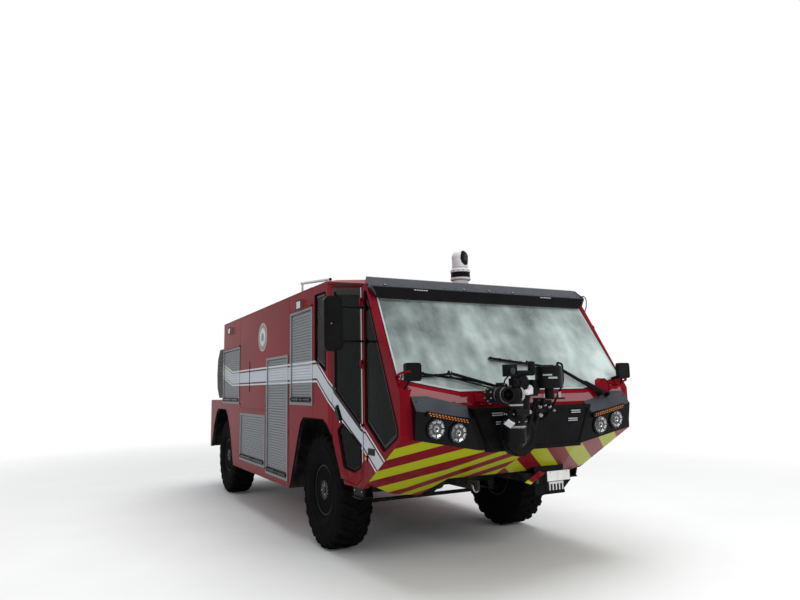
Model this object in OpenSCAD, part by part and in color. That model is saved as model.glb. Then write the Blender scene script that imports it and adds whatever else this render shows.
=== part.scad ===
// Airport fire truck, 4x4, with a faceted cab, bumper turret and roller shutter lockers.
// X runs forward, Y to the vehicle's left, Z up. The modules measure X from the front axle.
// The whole model is then moved so that the middle of its length lies over the origin.

/* [Overall] */
// Width over the body sides
body_w = 3080; // [2900:10:3200]
// Height of the roof of the body and cab
roof_z = 3090; // [3000:10:3300]
// Distance between the axles
wheelbase = 4910; // [4800:10:5200]
// Distance from the rear axle to the rear face
rear_overhang = 960; // [900:10:1200]
// Height of the lower edge of the lockers
sill_z = 590; // [520:10:660]
// Height at which every part of the body stands on the frame rails
deck_z = 1130; // [1120:5:1150]

/* [Wheels] */
// Standing radius of the tyre
tyre_r = 667; // [640:1:690]
// Width of the tyre
tyre_w = 400; // [340:5:420]
// Distance between the middles of the tyres of one axle
track = 2480; // [2440:10:2520]
// Radius of the wheel rim
rim_r = 290; // [270:5:310]
// Distance from the kingpin to the middle of the tyre
kingpin_offset = 210; // [200:5:240]
// Clearance of a moving part beside its neighbours
play = 6; // [5:1:8]
// Running gap of a shaft, swivel or hinge
bearing = 0.3; // [0.2:0.1:0.5]

/* [Frame] */
// Width over the two frame rails
rails_w = 860; // [820:10:880]
// Height of a frame rail
rail_h = 250; // [220:10:260]
// Width of a rail's flange
rail_flange = 90; // [70:5:100]
// Thickness of the rail's plate
rail_t = 12; // [8:1:16]

/* [Lockers] */
// Thickness of the body's outer panels
skin = 40; // [30:2:50]
// Width of the seam between two body modules
seam = 8; // [6:1:12]
// Depth of the recess behind a roller shutter
shutter_depth = 70; // [60:5:100]
// Height of one slat of a shutter
slat_h = 36; // [30:2:60]
// Width of the aluminium frame round a shutter
frame_w = 34; // [24:2:40]

/* [Cab] */
// Thickness of the cab's walls and doors
wall = 50; // [40:2:56]
// Thickness of a pane of glass
glass_t = 10; // [8:1:14]
// Depth of the side glass below the outer face
glass_inset = 14; // [10:1:20]
// Depth of the windscreen's face below the cab's face
screen_set = 4; // [2:1:8]
// Gap round a cab door
door_gap = 8; // [6:1:12]
// How far each side of the nose stands in from the body's side
nose_taper = 88; // [70:2:100]

/* [Turret] */
// Distance of the turret's riser in front of the front axle
turret_x = 2440; // [2430:5:2480]
// Height of the turret's tilting axis
turret_z = 1765; // [1760:1:1800]
// Reach of the nozzle in front of the tilting axis
nozzle_l = 190; // [160:5:240]

/* [Hidden] */
$fn = 48;
big = 4000;
sides = [-1, 1];
half_w = body_w / 2;
nose_half_w = half_w - nose_taper;
rear_x = -(wheelbase + rear_overhang);
rear_lamp_t = 25;
front_reach = turret_x + nozzle_l;
axle_shift = -(rear_x - rear_lamp_t + front_reach) / 2;
rail_z = deck_z - rail_h;
rail_y = rails_w / 2 - rail_flange;
channel_half = rails_w / 2 + 60;
wheel_y = track / 2;
kingpin_y = wheel_y - kingpin_offset;

// Positions along the body, from the front axle
rear_wall_x = -4830;
rear_seam_x = -3560;
front_seam_x = -900;
cab_rear_x = 0;
deck_top_z = 1680;
arch_top_z = 1510;
house_half = 640;

// Side view of the cab: [x, z] of its corners, from the rear of the roof round the nose
belly_corner = [2145, 569, 1222];
belly_foot = [1099, 692];
cab_outline = [[cab_rear_x, roof_z], [600, roof_z], [1340, roof_z - 105], [2086, 1790],
    [2115, 1668], [belly_corner[0], belly_corner[2]], belly_foot, [cab_rear_x, belly_foot[1]]];
// Plan of the cab: [x, y] of its left half, then mirrored
face_half_w = nose_half_w - 97;
cab_plan_half = [[cab_rear_x, half_w], [500, half_w], [1290, nose_half_w + 3],
    [2078, nose_half_w], [2106, face_half_w], [2400, face_half_w]];
function cab_side_y(x) = lookup(x, cab_plan_half);

red = [0.55, 0.03, 0.05];
black = [0.05, 0.05, 0.055];
silver = [0.72, 0.74, 0.75];
steel = [0.16, 0.16, 0.17];
glass = [0.35, 0.45, 0.45, 0.5];

module from_axle() { translate([axle_shift, 0, 0]) children(); }
module both_sides() {
    children();
    mirror([0, 1, 0]) children();
}
module block(low, high) { translate(low) cube(high - low); }
// A side view [x, z] made solid from y0 to y1
module side_plate(points, y0, y1) {
    translate([0, y1, 0]) rotate([90, 0, 0]) linear_extrude(y1 - y0) polygon(points);
}
module rod(a, b, r) {
    d = b - a;
    translate(a) rotate([0, acos(d[2] / norm(d)), atan2(d[1], d[0])]) cylinder(r = r, h = norm(d));
}

function unit(v) = v / norm(v);
function line_cross(p, d, q, e) =
    let (t = ((q[0] - p[0]) * e[1] - (q[1] - p[1]) * e[0]) / (d[0] * e[1] - d[1] * e[0])) p + t * d;
// A clockwise outline with edge i, from point i to the next one, moved inwards by t[i]
function inset_each(points, t) = let (n = len(points)) [for (i = [0:n - 1])
    let (h = (i + n - 1) % n, b = points[i],
        d = unit(b - points[h]), e = unit(points[(i + 1) % n] - b))
    line_cross(b + t[h] * [d[1], -d[0]], d, b + t[i] * [e[1], -e[0]], e)];
function inset(points, t) = inset_each(points, [for (p = points) t]);
function reversed(list) = [for (i = [len(list) - 1:-1:0]) list[i]];
function flipped(points) = [for (p = reversed(points)) [p[0], -p[1]]];

// The solid side of a plane through p, towards the normal n, moved inwards by t
module half_space(p, n, t = 0) {
    u = unit(n);
    translate(p + t * u) rotate([0, acos(u[2]), atan2(u[1], u[0])])
        translate([-big, -big, 0]) cube([2 * big, 2 * big, big]);
}

// The nose's lower faces: a middle plane and one on each side that rises outwards
belly_slope = (belly_corner[2] - belly_foot[1]) / (belly_corner[0] - belly_foot[0]);
flank_slope = 0.6325;
flank_rise = 0.2112;
module above_belly(t) {
    intersection() {
        half_space(belly_corner, [-belly_slope, 0, 1], t);
        half_space(belly_corner, [-flank_slope, -flank_rise, 1], t);
        mirror([0, 1, 0]) half_space(belly_corner, [-flank_slope, -flank_rise, 1], t);
    }
}
// The sloped edges of the cab's roof
roof_edge = [[460, half_w, roof_z], [1360, nose_half_w, roof_z - 160],
    [1340, nose_half_w - 152, roof_z - 105]];
module side_prism(t) { side_plate(inset(cab_outline, t), -2 * half_w, 2 * half_w); }
// The inside of the cab, without a bottom
module open_inside() {
    intersection() {
        side_plate(inset_each(cab_outline, [for (i = [0:7]) i == 5 || i == 6 ? -big / 4 : wall]),
            -2 * half_w, 2 * half_w);
        plan_prism(wall);
        roof_slopes(wall);
    }
}
module roof_slopes(t) {
    n = cross(roof_edge[1] - roof_edge[0], roof_edge[2] - roof_edge[0]);
    down = n[2] > 0 ? -n : n;
    intersection() {
        half_space(roof_edge[0], down, t);
        mirror([0, 1, 0]) half_space(roof_edge[0], down, t);
    }
}
module plan_prism(t) {
    right = inset(concat(cab_plan_half, flipped(cab_plan_half)), t);
    linear_extrude(big) polygon(right);
}
// The cab's outer form, with every face moved inwards by t
module cab_form(t) {
    intersection() {
        side_prism(t);
        plan_prism(t);
        above_belly(t);
        roof_slopes(t);
    }
}
module cab_walls() {
    difference() {
        cab_form(0);
        cab_form(wall);
    }
}

// Outlines in side view, [x, z]
door_outline = [[612, 3000], [1272, 2905], [1272, 1110], [1225, 930], [1130, 870],
    [800, 900], [612, 1290]];
door_window = [[660, 2945], [1235, 2862], [1235, 1450], [660, 1835]];
door_low_window = [[735, 1400], [845, 1475], [1220, 1265], [1220, 1055], [1085, 995], [865, 1025]];
quarter_window = [[1330, 2850], [1372, 2850], [2020, 1480], [2020, 1400], [1735, 1250], [1330, 1510]];
rear_window = [[90, 2970], [430, 2970], [430, 2060], [90, 2200]];
front_arch = [[-860, 0], [-860, 600], [-800, 700], [-560, 1200], [-430, 1440], [-330, arch_top_z],
    [330, arch_top_z], [470, 1450], [640, 1290], [860, 870], [960, 600], [960, 0]];
// Lower edge of the windscreen's left half in front view, [y, z]
screen_low = [[0, 1792], [800, 1792], [1110, 1852], [nose_half_w - 102, 1905], [nose_half_w - 12, 1920]];
// Height of its upper edge and half its width there, and the ledge that it lies on
screen_top_z = 2790;
screen_top_half = nose_half_w - 62;
screen_lip = 36;
// Front view from the windscreen's lower edge, raised by t, up to z, with its sides moved inwards by s
module over_screen_low(z, t, s) {
    right = [for (p = screen_low) [min(p[0], nose_half_w - 12 - s), p[1] + t]];
    top_half = screen_top_half - s;
    translate([1200, 0, 0]) rotate([90, 0, 90]) linear_extrude(1100)
        polygon(concat(right, [[top_half, z], [-top_half, z]], [for (p = reversed(right)) [-p[0], p[1]]]));
}

module cab_windows() {
    both_sides() {
        side_plate(quarter_window, 1000, 2000);
        side_plate(rear_window, 1000, 2000);
    }
}
// The solid side of the windscreen's plane, moved inwards by t
module behind_screen(t) {
    a = cab_outline[2];
    b = cab_outline[3];
    half_space([b[0], 0, b[1]], [b[1] - a[1], 0, a[0] - b[0]], t);
}
// The windscreen is bonded into a rebate
module windscreen_hole() {
    difference() {
        over_screen_low(screen_top_z, 0, 0);
        behind_screen(screen_set + glass_t);
    }
    over_screen_low(screen_top_z - screen_lip, screen_lip, wall);
}
module windscreen_pane() {
    intersection() {
        over_screen_low(screen_top_z, 0, 0);
        difference() {
            behind_screen(screen_set);
            behind_screen(screen_set + glass_t);
        }
    }
}
hood_low_z = 1672;
hood_half = nose_half_w - 102;
module hood_region() {
    difference() {
        block([1850, -hood_half, hood_low_z], [2300, hood_half, 1925]);
        over_screen_low(2000, -screen_lip, 0);
    }
}
module door_region(gap) {
    side_plate(inset(door_outline, -gap), 1000, 2000);
}
// Room for the wheels, springs and axle, out to the inner face of the outer skin
module wheel_house(x0, x1, top_z) {
    both_sides() {
        block([x0, house_half, 0], [x1, half_w - skin, top_z]);
        block([x0, channel_half - 1, 0], [x1, house_half + 1, deck_z]);
    }
}

cab_sill_z = 845;
module cab_shell() color(red) from_axle() {
    both_sides() cab_hinges();
    difference() {
        cab_form(0);
        open_inside();
        nose_underside();
        block([-100, -half_w - 1, 0], [belly_foot[0] + 200, half_w + 1, cab_sill_z]);
        windscreen_hole();
        hood_region();
        cab_windows();
        both_sides() {
            door_region(door_gap);
            side_plate(front_arch, 1000, 2000);
        }
        // The rear wall ends at the floor and over the wheel houses
        block([-100, -half_w + wall, 0], [wall + 1, half_w - wall, arch_top_z + 60]);
    }
}

floor_t = 40;
well_z = 900;
module cab_floor() color(steel) from_axle() {
    house_front = 900;
    intersection() {
        cab_form(wall);
        union() {
            block([wall, -house_half - floor_t, deck_z], [1900, house_half + floor_t, deck_z + floor_t]);
            both_sides() {
                block([wall, house_half, deck_z], [house_front, house_half + floor_t, arch_top_z + 60]);
                block([wall, house_half, arch_top_z + 20], [house_front, 2000, arch_top_z + 60]);
                block([house_front - floor_t, house_half, well_z], [house_front, 2000, arch_top_z + 60]);
                block([house_front - floor_t, house_half, well_z], [1340, 2000, well_z + floor_t]);
                block([1300, house_half, well_z], [1340, 2000, deck_z + floor_t]);
                block([1300, house_half, deck_z], [1900, 2000, deck_z + floor_t]);
                block([house_front - floor_t, house_half, well_z], [1340, house_half + floor_t, deck_z + floor_t]);
            }
        }
    }
}

module hood() color(red) from_axle() {
    intersection() {
        cab_walls();
        hood_region();
    }
}

// The light panels: [x, y, z] of the left one's corners, upper edge, crease and lower edge
light_corners = [[2123, 752, 1664], [2100, 1190, 1766], [2098, hood_half, 1766], [2205, 775, 1552],
    [2198, hood_half, 1634], [2160, 640, 1240], [2160, hood_half, 1372]];
module light_panel_solid() {
    hull() {
        for (p = light_corners) {
            translate(p - [10, 0, 0]) cube([10, 0.1, 0.1]);
            translate(p - [70, 0, 0]) cube([10, 0.1, 0.1]);
        }
    }
}
// The round lamps: [x, y, z] of the middle of each lens
lamp_places = [[2182, 1137, 1467], [2184, 899, 1419]];
lamp_r = 88;
lamp_tilt = 96;
module lamp_bores(r, depth) {
    for (p = lamp_places) translate(p) rotate([0, lamp_tilt, 0])
        translate([0, 0, -depth]) cylinder(r = r, h = depth + 60);
}
module light_panels() color(black) from_axle() {
    both_sides() difference() {
        light_panel_solid();
        side_prism(0);
        centre_box_form();
        lamp_bores(lamp_r, 30);
    }
}
box_top_z = 1640;
box_front_x = 2225;
module centre_box_form() {
    translate([1900, 0, 0]) rotate([90, 0, 90]) linear_extrude(box_front_x - 1900)
        polygon([[-748, box_top_z], [748, box_top_z], [569, 1222], [-569, 1222]]);
}
module bumper_box() color(black) from_axle() {
    difference() {
        centre_box_form();
        side_prism(0);
    }
}
chevron_half = nose_half_w + 48;
chevron_plan = [[1099, 730], [1360, chevron_half], [2400, chevron_half], [2400, -chevron_half],
    [1360, -chevron_half], [1099, -730], [1520, -612], [1520, 612]];
// Everything up to the upper face of the chevron panel
module nose_underside() {
    difference() {
        linear_extrude(1800) polygon(chevron_plan);
        above_belly(wall);
    }
}
module chevron_panel() color([0.75, 0.8, 0.05]) from_axle() {
    intersection() {
        cab_form(0);
        nose_underside();
    }
}

module door_panel() {
    difference() {
        intersection() {
            cab_walls();
            door_region(0);
        }
        side_plate(door_window, 1000, 2000);
        side_plate(door_low_window, 1000, 2000);
    }
}
// Hinges stand outside the door's front edge: the door's barrel sits on the cab's
hinge_r = 12;
hinge_l = 45;
hinge_reach = 44;
hinge = [1276, cab_side_y(1276) + hinge_r + 2];
hinge_table = [1400, 2050, 2700];
// One leaf with its barrel, towards the front (1) or the rear (-1)
module hinge_leaf(z, way) {
    difference() {
        union() {
            translate([hinge[0], hinge[1], z]) cylinder(r = hinge_r, h = hinge_l);
            translate([hinge[0], hinge[1] - 30, z]) mirror([way < 0 ? 1 : 0, 0, 0])
                cube([hinge_reach, 30, hinge_l]);
        }
        cab_form(0);
    }
}
module door_hinged() {
    door_panel();
    for (z = hinge_table) hinge_leaf(z + hinge_l + bearing, -1);
}
module cab_hinges() { for (z = hinge_table) hinge_leaf(z, 1); }
module door_left() color(red) from_axle() door_hinged();
module door_right() color(red) from_axle() mirror([0, 1, 0]) door_hinged();
module pane_layer() {
    difference() {
        cab_form(glass_inset);
        cab_form(glass_inset + glass_t);
    }
}
module door_panes() {
    intersection() {
        pane_layer();
        union() {
            side_plate(door_window, 1000, 2000);
            side_plate(door_low_window, 1000, 2000);
        }
    }
}
module door_glass_left() color(glass) from_axle() door_panes();
module door_glass_right() color(glass) from_axle() mirror([0, 1, 0]) door_panes();
module glazing() color(glass) from_axle() {
    windscreen_pane();
    intersection() {
        pane_layer();
        cab_windows();
    }
}

// The visor's section, [x, z]
visor_section = [[1300, roof_z - 70], [1385, roof_z - 92], [1492, 2890], [1499, 2765], [1420, 2765],
    [1300, 2940]];
visor_front = [[nose_half_w - 56, roof_z], [nose_half_w - 2, 2885], [nose_half_w - 90, 2765]];
module visor() color(black) from_axle() {
    difference() {
        intersection() {
            side_plate(visor_section, -nose_half_w, nose_half_w);
            translate([1200, 0, 0]) rotate([90, 0, 90]) linear_extrude(400)
                polygon(concat(visor_front, [for (p = reversed(visor_front)) [-p[0], p[1]]]));
        }
        cab_form(0);
    }
}

scene_lamp_x = [-520, -4370];
scene_lamp_l = 190;
rear_lamp_z = 1180;
amber_ends = [[2201, 800, 1521], [2197, 1230, 1605]];
module lamps() color(silver) from_axle() {
    both_sides() {
        for (p = lamp_places) translate(p) rotate([0, lamp_tilt, 0])
            translate([0, 0, -30]) cylinder(r = lamp_r, h = 34);
        difference() {
            rod(amber_ends[0], amber_ends[1], 19);
            light_panel_solid();
        }
        // Scene lamps high on the sides, then the rear lamp clusters
        for (x = scene_lamp_x) block([x, half_w, roof_z - 230], [x + scene_lamp_l, half_w + 35, roof_z - 105]);
        block([rear_x - rear_lamp_t, half_w - 360, rear_lamp_z], [rear_x, half_w - 100, rear_lamp_z + 380]);
    }
}

// The front towing beam: its end, lower edge and eye
tow_end_x = 1740;
tow_low_z = 790;
tow_eye = [tow_end_x - 60, tow_low_z + 50];
module tow_beam() {
    difference() {
        side_plate([[1000, rail_z], [1000, tow_low_z], [tow_end_x, tow_low_z], [tow_end_x, tow_low_z + 100],
            [1250, rail_z]], rails_w / 2 - 60, rails_w / 2 - 30);
        translate([tow_eye[0], 300, tow_eye[1]]) rotate([-90, 0, 0]) cylinder(r = 22, h = 200);
    }
}
module c_rail() {
    translate([rear_x + 60, 0, 0]) rotate([90, 0, 90]) linear_extrude(1250 - rear_x - 60)
        translate([rail_y, rail_z]) difference() {
            square([rail_flange, rail_h]);
            translate([-1, rail_t]) square([rail_flange - rail_t + 1, rail_h - 2 * rail_t]);
        }
}
cross_members = [rear_x + 130, -4200, -3000, -1800, -700, 700, 1150];
spring_y = 560;
spring_r = 90;
tower_t = 30;
tow_plate_half = 130;
tow_plate_z = 935;
spring_top_z = deck_z - 10 - tower_t;
module chassis() color(steel) from_axle() {
    both_sides() {
        c_rail();
        // Towers that carry the springs, then the towing beams and eyes at the front
        for (x = [0, -wheelbase]) block([x - spring_r, rails_w / 2 - 1, spring_top_z],
            [x + spring_r, spring_y + spring_r, spring_top_z + tower_t]);
        tow_beam();
    }
    // The plate with the rear towing eye
    difference() {
        block([rear_x + 5, -tow_plate_half, tow_plate_z], [rear_x + 131, tow_plate_half, tow_plate_z + 40]);
        translate([rear_x + 80, 0, tow_plate_z - 30]) cylinder(r = 25, h = 100);
    }
    web_y = rails_w / 2 - rail_t + 1;
    for (x = cross_members) block([x, -web_y, rail_z + 30], [x + 60, web_y, rail_z + 180]);
}

axle_r = 85;
pin_r = 32;
ear_z = [150 + play, 196];
module axle_beam(half, diff_x) {
    rod([0, -half, tyre_r], [0, half, tyre_r], axle_r);
    translate([diff_x, 0, tyre_r]) sphere(r = 205);
    translate([0, 0, tyre_r]) rotate([0, -90 * sign(diff_x), 0]) cylinder(r1 = 150, r2 = 70, h = 330);
}
module spring_seat(s) {
    translate([0, s * spring_y, tyre_r]) cylinder(r = spring_r, h = 120);
}
// A helical spring is shown as its outline with turned grooves
module coil(h) {
    turns = 7;
    pitch = h / turns;
    rotate_extrude() polygon(concat([[0, 0], [60, 0]],
        [for (i = [0:turns - 1]) each [[70, i * pitch + 4], [70, (i + 0.6) * pitch], [52, (i + 0.8) * pitch]]],
        [[60, h], [0, h]]));
}
module axle_springs() {
    for (s = sides) {
        spring_seat(s);
        translate([0, s * spring_y, tyre_r + 120]) coil(spring_top_z - tyre_r - 120);
    }
}
module front_axle() color(steel) from_axle() {
    axle_beam(kingpin_y, -60);
    axle_springs();
    for (s = sides) translate([0, s * kingpin_y, tyre_r]) {
        translate([0, 0, -150]) cylinder(r = 54, h = 300);
        translate([0, 0, -ear_z[1]]) cylinder(r = pin_r, h = 2 * ear_z[1]);
    }
}
module rear_axle() color(steel) from_axle() translate([-wheelbase, 0, 0]) {
    axle_beam(wheel_y - hub_inner - play, 60);
    for (s = sides) translate([0, s * wheel_y, tyre_r]) spindle(s);
    axle_springs();
}

engine_low = [rear_x + 200, -rail_y, 960];
engine_high = [rear_wall_x - 40, rail_y, 1620];
module engine_block() color(steel) from_axle() block(engine_low, engine_high);

// The transfer box between the rails and the two propeller shafts
transfer_x = [-2900, -2300];
transfer_half = 230;
shaft_z = 860;
shaft_r = 55;
nose_of_axle = 340;
module driveline() color(steel) from_axle() {
    block([transfer_x[0], -transfer_half, rail_z - 120], [transfer_x[1], transfer_half, deck_z - 130]);
    rod([transfer_x[1] - 10, 0, shaft_z], [-nose_of_axle, 0, tyre_r + 20], shaft_r);
    rod([transfer_x[0] + 10, 0, shaft_z], [nose_of_axle - wheelbase, 0, tyre_r + 20], shaft_r);
}

// A body module's cross-section: one block above the rails with skirts outside them
module module_block(x0, x1) {
    difference() {
        block([x0, -half_w, sill_z], [x1, half_w, roof_z]);
        block([x0 - 1, -channel_half, 0], [x1 + 1, channel_half, deck_z]);
    }
}
// Depth of the slats below the side, of their grooves, and height of the flat bottom slat
slat_set = 8;
slat_groove = 7;
shutter_foot = 60;
// The shutters on one side: [rear x, front x, lower z, upper z]
shutter_table = [[-4800, -3620, 1660, 2560], [-3470, -2050, 760, 1450], [-1930, -980, 700, 2280],
    [-820, -30, 1690, 2820]];
module shutter_holes() {
    both_sides() for (s = shutter_table)
        block([s[0], half_w - shutter_depth, s[2]], [s[1], half_w + 10, s[3]]);
}
module body_tank() color(red) from_axle() {
    difference() {
        module_block(rear_seam_x + seam / 2, front_seam_x - seam / 2);
        shutter_holes();
    }
}
rear_arch = [[-950, 0], [-950, 590], [-780, 900], [-640, 1200], [-440, 1440], [-300, 1520],
    [300, 1520], [440, 1440], [640, 1200], [780, 900], [950, 590], [950, 0]];
module rear_arch_cut() {
    translate([-wheelbase, 0, 0]) {
        both_sides() side_plate(rear_arch, 1000, 2000);
        wheel_house(-900, 900, 1540);
    }
}
module body_rear() color(red) from_axle() {
    difference() {
        module_block(rear_wall_x, rear_seam_x - seam / 2);
        shutter_holes();
        rear_arch_cut();
    }
}
module body_front() color(red) from_axle() {
    difference() {
        module_block(front_seam_x + seam / 2, cab_rear_x - seam / 2);
        shutter_holes();
        both_sides() side_plate(front_arch, 1000, 2000);
        wheel_house(front_seam_x + 50, 100, arch_top_z + 20);
    }
}
module rear_deck() color(red) from_axle() {
    difference() {
        block([rear_x, -half_w, 780], [rear_wall_x - seam / 2, half_w, deck_top_z]);
        block([rear_x + skin, -half_w + skin, 0], [rear_wall_x + 10, half_w - skin, deck_top_z - skin]);
        both_sides() translate([-wheelbase, 0, 0]) side_plate(rear_arch, 1000, 2000);
        block([rear_x - 1, -170, 900], [rear_x + skin + 1, 170, 1010]);
    }
}

module roller_shutters() color(silver) from_axle() {
    both_sides() for (s = shutter_table) {
        face = half_w - slat_set;
        z0 = s[2] + shutter_foot;
        count = floor((s[3] - z0) / slat_h);
        slats = [for (i = [0:count - 1]) each [[face - slat_groove, z0 + i * slat_h],
            [face, z0 + i * slat_h + 5], [face, z0 + (i + 1) * slat_h - 5]]];
        translate([s[0], 0, 0]) rotate([90, 0, 90]) linear_extrude(s[1] - s[0])
            polygon(concat([[half_w - shutter_depth, s[3]], [half_w - shutter_depth, s[2]],
                [face, s[2]], [face, z0 - 1]], slats, [[face - slat_groove, s[3]]]));
        difference() {
            block([s[0] - frame_w, half_w, s[2] - frame_w], [s[1] + frame_w, half_w + 8, s[3] + frame_w]);
            block([s[0], half_w - 1, s[2]], [s[1], half_w + 9, s[3]]);
        }
    }
}

// The turret stands on a drum in front of the bumper box: the drum, the riser's axis and the arm
drum_y = -250;
drum_z = 1385;
drum_r = 218;
drum_l = 75;
turret_y = -420;
pan_z = 1560;
arm_l = 215;
arm_joint = 85;
arm_end = 75;
arm_r = 74;
riser_r = 90;
elbow_r = riser_r + 6;
elbow_bevel = 34;
pipe_r = 58;
head_z = turret_z + 200;
module at_riser() { translate([turret_x, turret_y, 0]) children(); }
module turret_base() color(black) from_axle() {
    drum_x = box_front_x + drum_l;
    translate([box_front_x, drum_y, drum_z]) rotate([0, 90, 0]) {
        cylinder(r = drum_r, h = drum_l - 20);
        cylinder(r = drum_r - 22, h = drum_l);
    }
    rod([drum_x - 4, drum_y, drum_z], [turret_x, turret_y, drum_z], riser_r);
    at_riser() translate([0, 0, drum_z]) {
        rotate_extrude() polygon([[0, -elbow_r], [elbow_r - elbow_bevel, -elbow_r],
            [elbow_r, elbow_bevel - elbow_r], [elbow_r, riser_r - 10], [0, riser_r - 10]]);
        cylinder(r = riser_r, h = pan_z - drum_z - bearing);
    }
    // The drive's can on its bracket beside the riser
    for (y = drive_post_y)
        rod([drum_x - 25, drum_y + y, drum_z + 60], [turret_x - 60, drum_y + y + 40, drive_z], 24);
    block([turret_x - 100, drive_y - 130, drive_z - 8], [turret_x + 60, drive_y + 140, drive_z + 8]);
    translate([turret_x, drive_y, drive_z]) cylinder(r = 45, h = can_z - drive_z + 10);
    translate([turret_x, drive_y, can_z]) cylinder(r = can_r, h = 208);
}
drive_y = 6;
drive_z = 1716;
drive_post_y = [100, 185];
can_r = 132;
can_z = 1815;
module turret_pan() color(black) from_axle() at_riser() {
    translate([0, 0, pan_z]) cylinder(r = riser_r + 6, h = 60);
    translate([0, 0, pan_z + 50]) cylinder(r = arm_r, h = turret_z - pan_z - 50);
    translate([0, 0, turret_z]) sphere(r = arm_r + 4);
    rod([0, 75, turret_z], [0, -arm_l + arm_joint + bearing, turret_z], pipe_r);
    // The mast of the lamps over the arm
    rod([0, 0, turret_z], [0, 0, head_z], 30);
    rod([0, -80, head_z], [0, 235, head_z], 26);
    translate([0, -45, head_z - 30]) cylinder(r = 48, h = 100, $fn = 6);
    translate([0, 215, head_z]) cylinder(r = 34, h = 85);
}
module turret_tilt() color(black) from_axle() at_riser() translate([0, -arm_l, turret_z]) {
    rod([0, arm_joint, 0], [0, -arm_end, 0], arm_r);
    rotate([0, 90, 0]) rotate_extrude() polygon([[0, 0], [56, 0], [64, 60], [84, 92], [84, 118],
        [70, 140], [68, nozzle_l], [54, nozzle_l], [46, 150], [0, 150]]);
}

camera_x = 955;
rail_mid_y = half_w - 70;
camera_dome_r = 100;
camera_dome_z = 284;
// Turned foot with its bellows, then the upright dome
module camera_head() color([0.9, 0.9, 0.9]) from_axle() translate([camera_x, 0, 3110 + bearing]) {
    rotate_extrude() polygon([[0, 0], [110, 0], [122, 12], [122, 30], [116, 34], [112, 50], [116, 66],
        [112, 82], [116, 98], [120, 102], [120, 128], [104, 150], [0, 150]]);
    cylinder(r = camera_dome_r - 2, h = camera_dome_z);
    translate([0, 0, camera_dome_z]) sphere(r = camera_dome_r);
}

module roof_fittings() color(silver) from_axle() {
    difference() {
        translate([camera_x, 0, 2950]) cylinder(r = 95, h = 160);
        cab_form(0);
    }
    // Handrails on the edges of the roof
    both_sides() {
        rod([-585, rail_mid_y, roof_z + 141], [415, rail_mid_y, roof_z + 36], 16, $fn = 12);
        for (p = [[-570, 140], [400, 38]])
            rod([p[0], rail_mid_y, roof_z], [p[0], rail_mid_y, roof_z + p[1]], 14, $fn = 12);
    }
}

mirror_x = 1310;
mirror_reach = 278;
fold_reach = 45;
mirror_h = 550;
// A flat outline with rounded corners, from the origin to [w, h]
function rounded_outline(w, h, r) = [for (c = [[w - r, h - r, 0], [r, h - r, 90], [r, r, 180], [w - r, r, 270]])
    for (a = [0:22.5:90]) [c[0] + r * cos(c[2] + a), c[1] + r * sin(c[2] + a)]];
// A mirror body and its two arms, [x, y] size and distance of its inner side from the cab
module side_mirror(size, reach, z) {
    lies_flat = size[0] > size[1];
    translate([mirror_x, nose_half_w + reach, z]) {
        if (lies_flat) translate([0, size[1], 0]) rotate([90, 0, 0]) linear_extrude(size[1])
            polygon(rounded_outline(size[0], mirror_h, 60));
        else rotate([90, 0, 90]) linear_extrude(size[0])
            polygon(rounded_outline(size[1], mirror_h, 60));
    }
    difference() {
        for (dz = [105, mirror_h - 95]) translate([mirror_x + 20, 0, z + dz]) rotate([-90, 0, 0])
            cylinder(r = 12, h = nose_half_w + reach + 5);
        cab_form(0);
        block([0, 0, 0], [2000, nose_half_w - wall, roof_z]);
    }
}
// The small mirror at the foot of the windscreen
module nose_mirror() {
    difference() {
        rod([2030, nose_half_w - 52, 1800], [2130, nose_half_w - 107, 1960], 10);
        cab_form(0);
    }
    translate([2110, nose_half_w - 190, 1905]) rotate([90, 0, 90]) linear_extrude(45)
        polygon(rounded_outline(165, 170, 25));
}
module mirrors() color(black) from_axle() {
    both_sides() nose_mirror();
    mirror([0, 1, 0]) side_mirror([100, 200], mirror_reach, 2225);
    // The left mirror is folded against the cab
    side_mirror([200, 90], fold_reach, 2030);
}

// Wipers: pivot, elbow and tip as [y, z]
wiper_table = [[[-30, 1745], [-833, 1974], [-1180, 1950]], [[985, 1745], [560, 2020], [-289, 2132]]];
screen_slope = (cab_outline[3][0] - cab_outline[2][0]) / (cab_outline[3][1] - cab_outline[2][1]);
function screen_point(p, out) =
    [cab_outline[3][0] + (p[1] - cab_outline[3][1]) * screen_slope + out, p[0], p[1]];
module bar(a, b, w) {
    hull() {
        translate(a) cube(w, center = true);
        translate(b) cube(w, center = true);
    }
}
module wipers() color(black) from_axle() {
    difference() {
        for (w = wiper_table) {
            rod(screen_point(w[0], -60), screen_point(w[0], 50), 24);
            bar(screen_point(w[0], 40), screen_point(w[1], 40), 22);
            bar(screen_point(w[1], 40), screen_point(w[2], 28), 20);
        }
        cab_form(0);
    }
}

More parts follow.
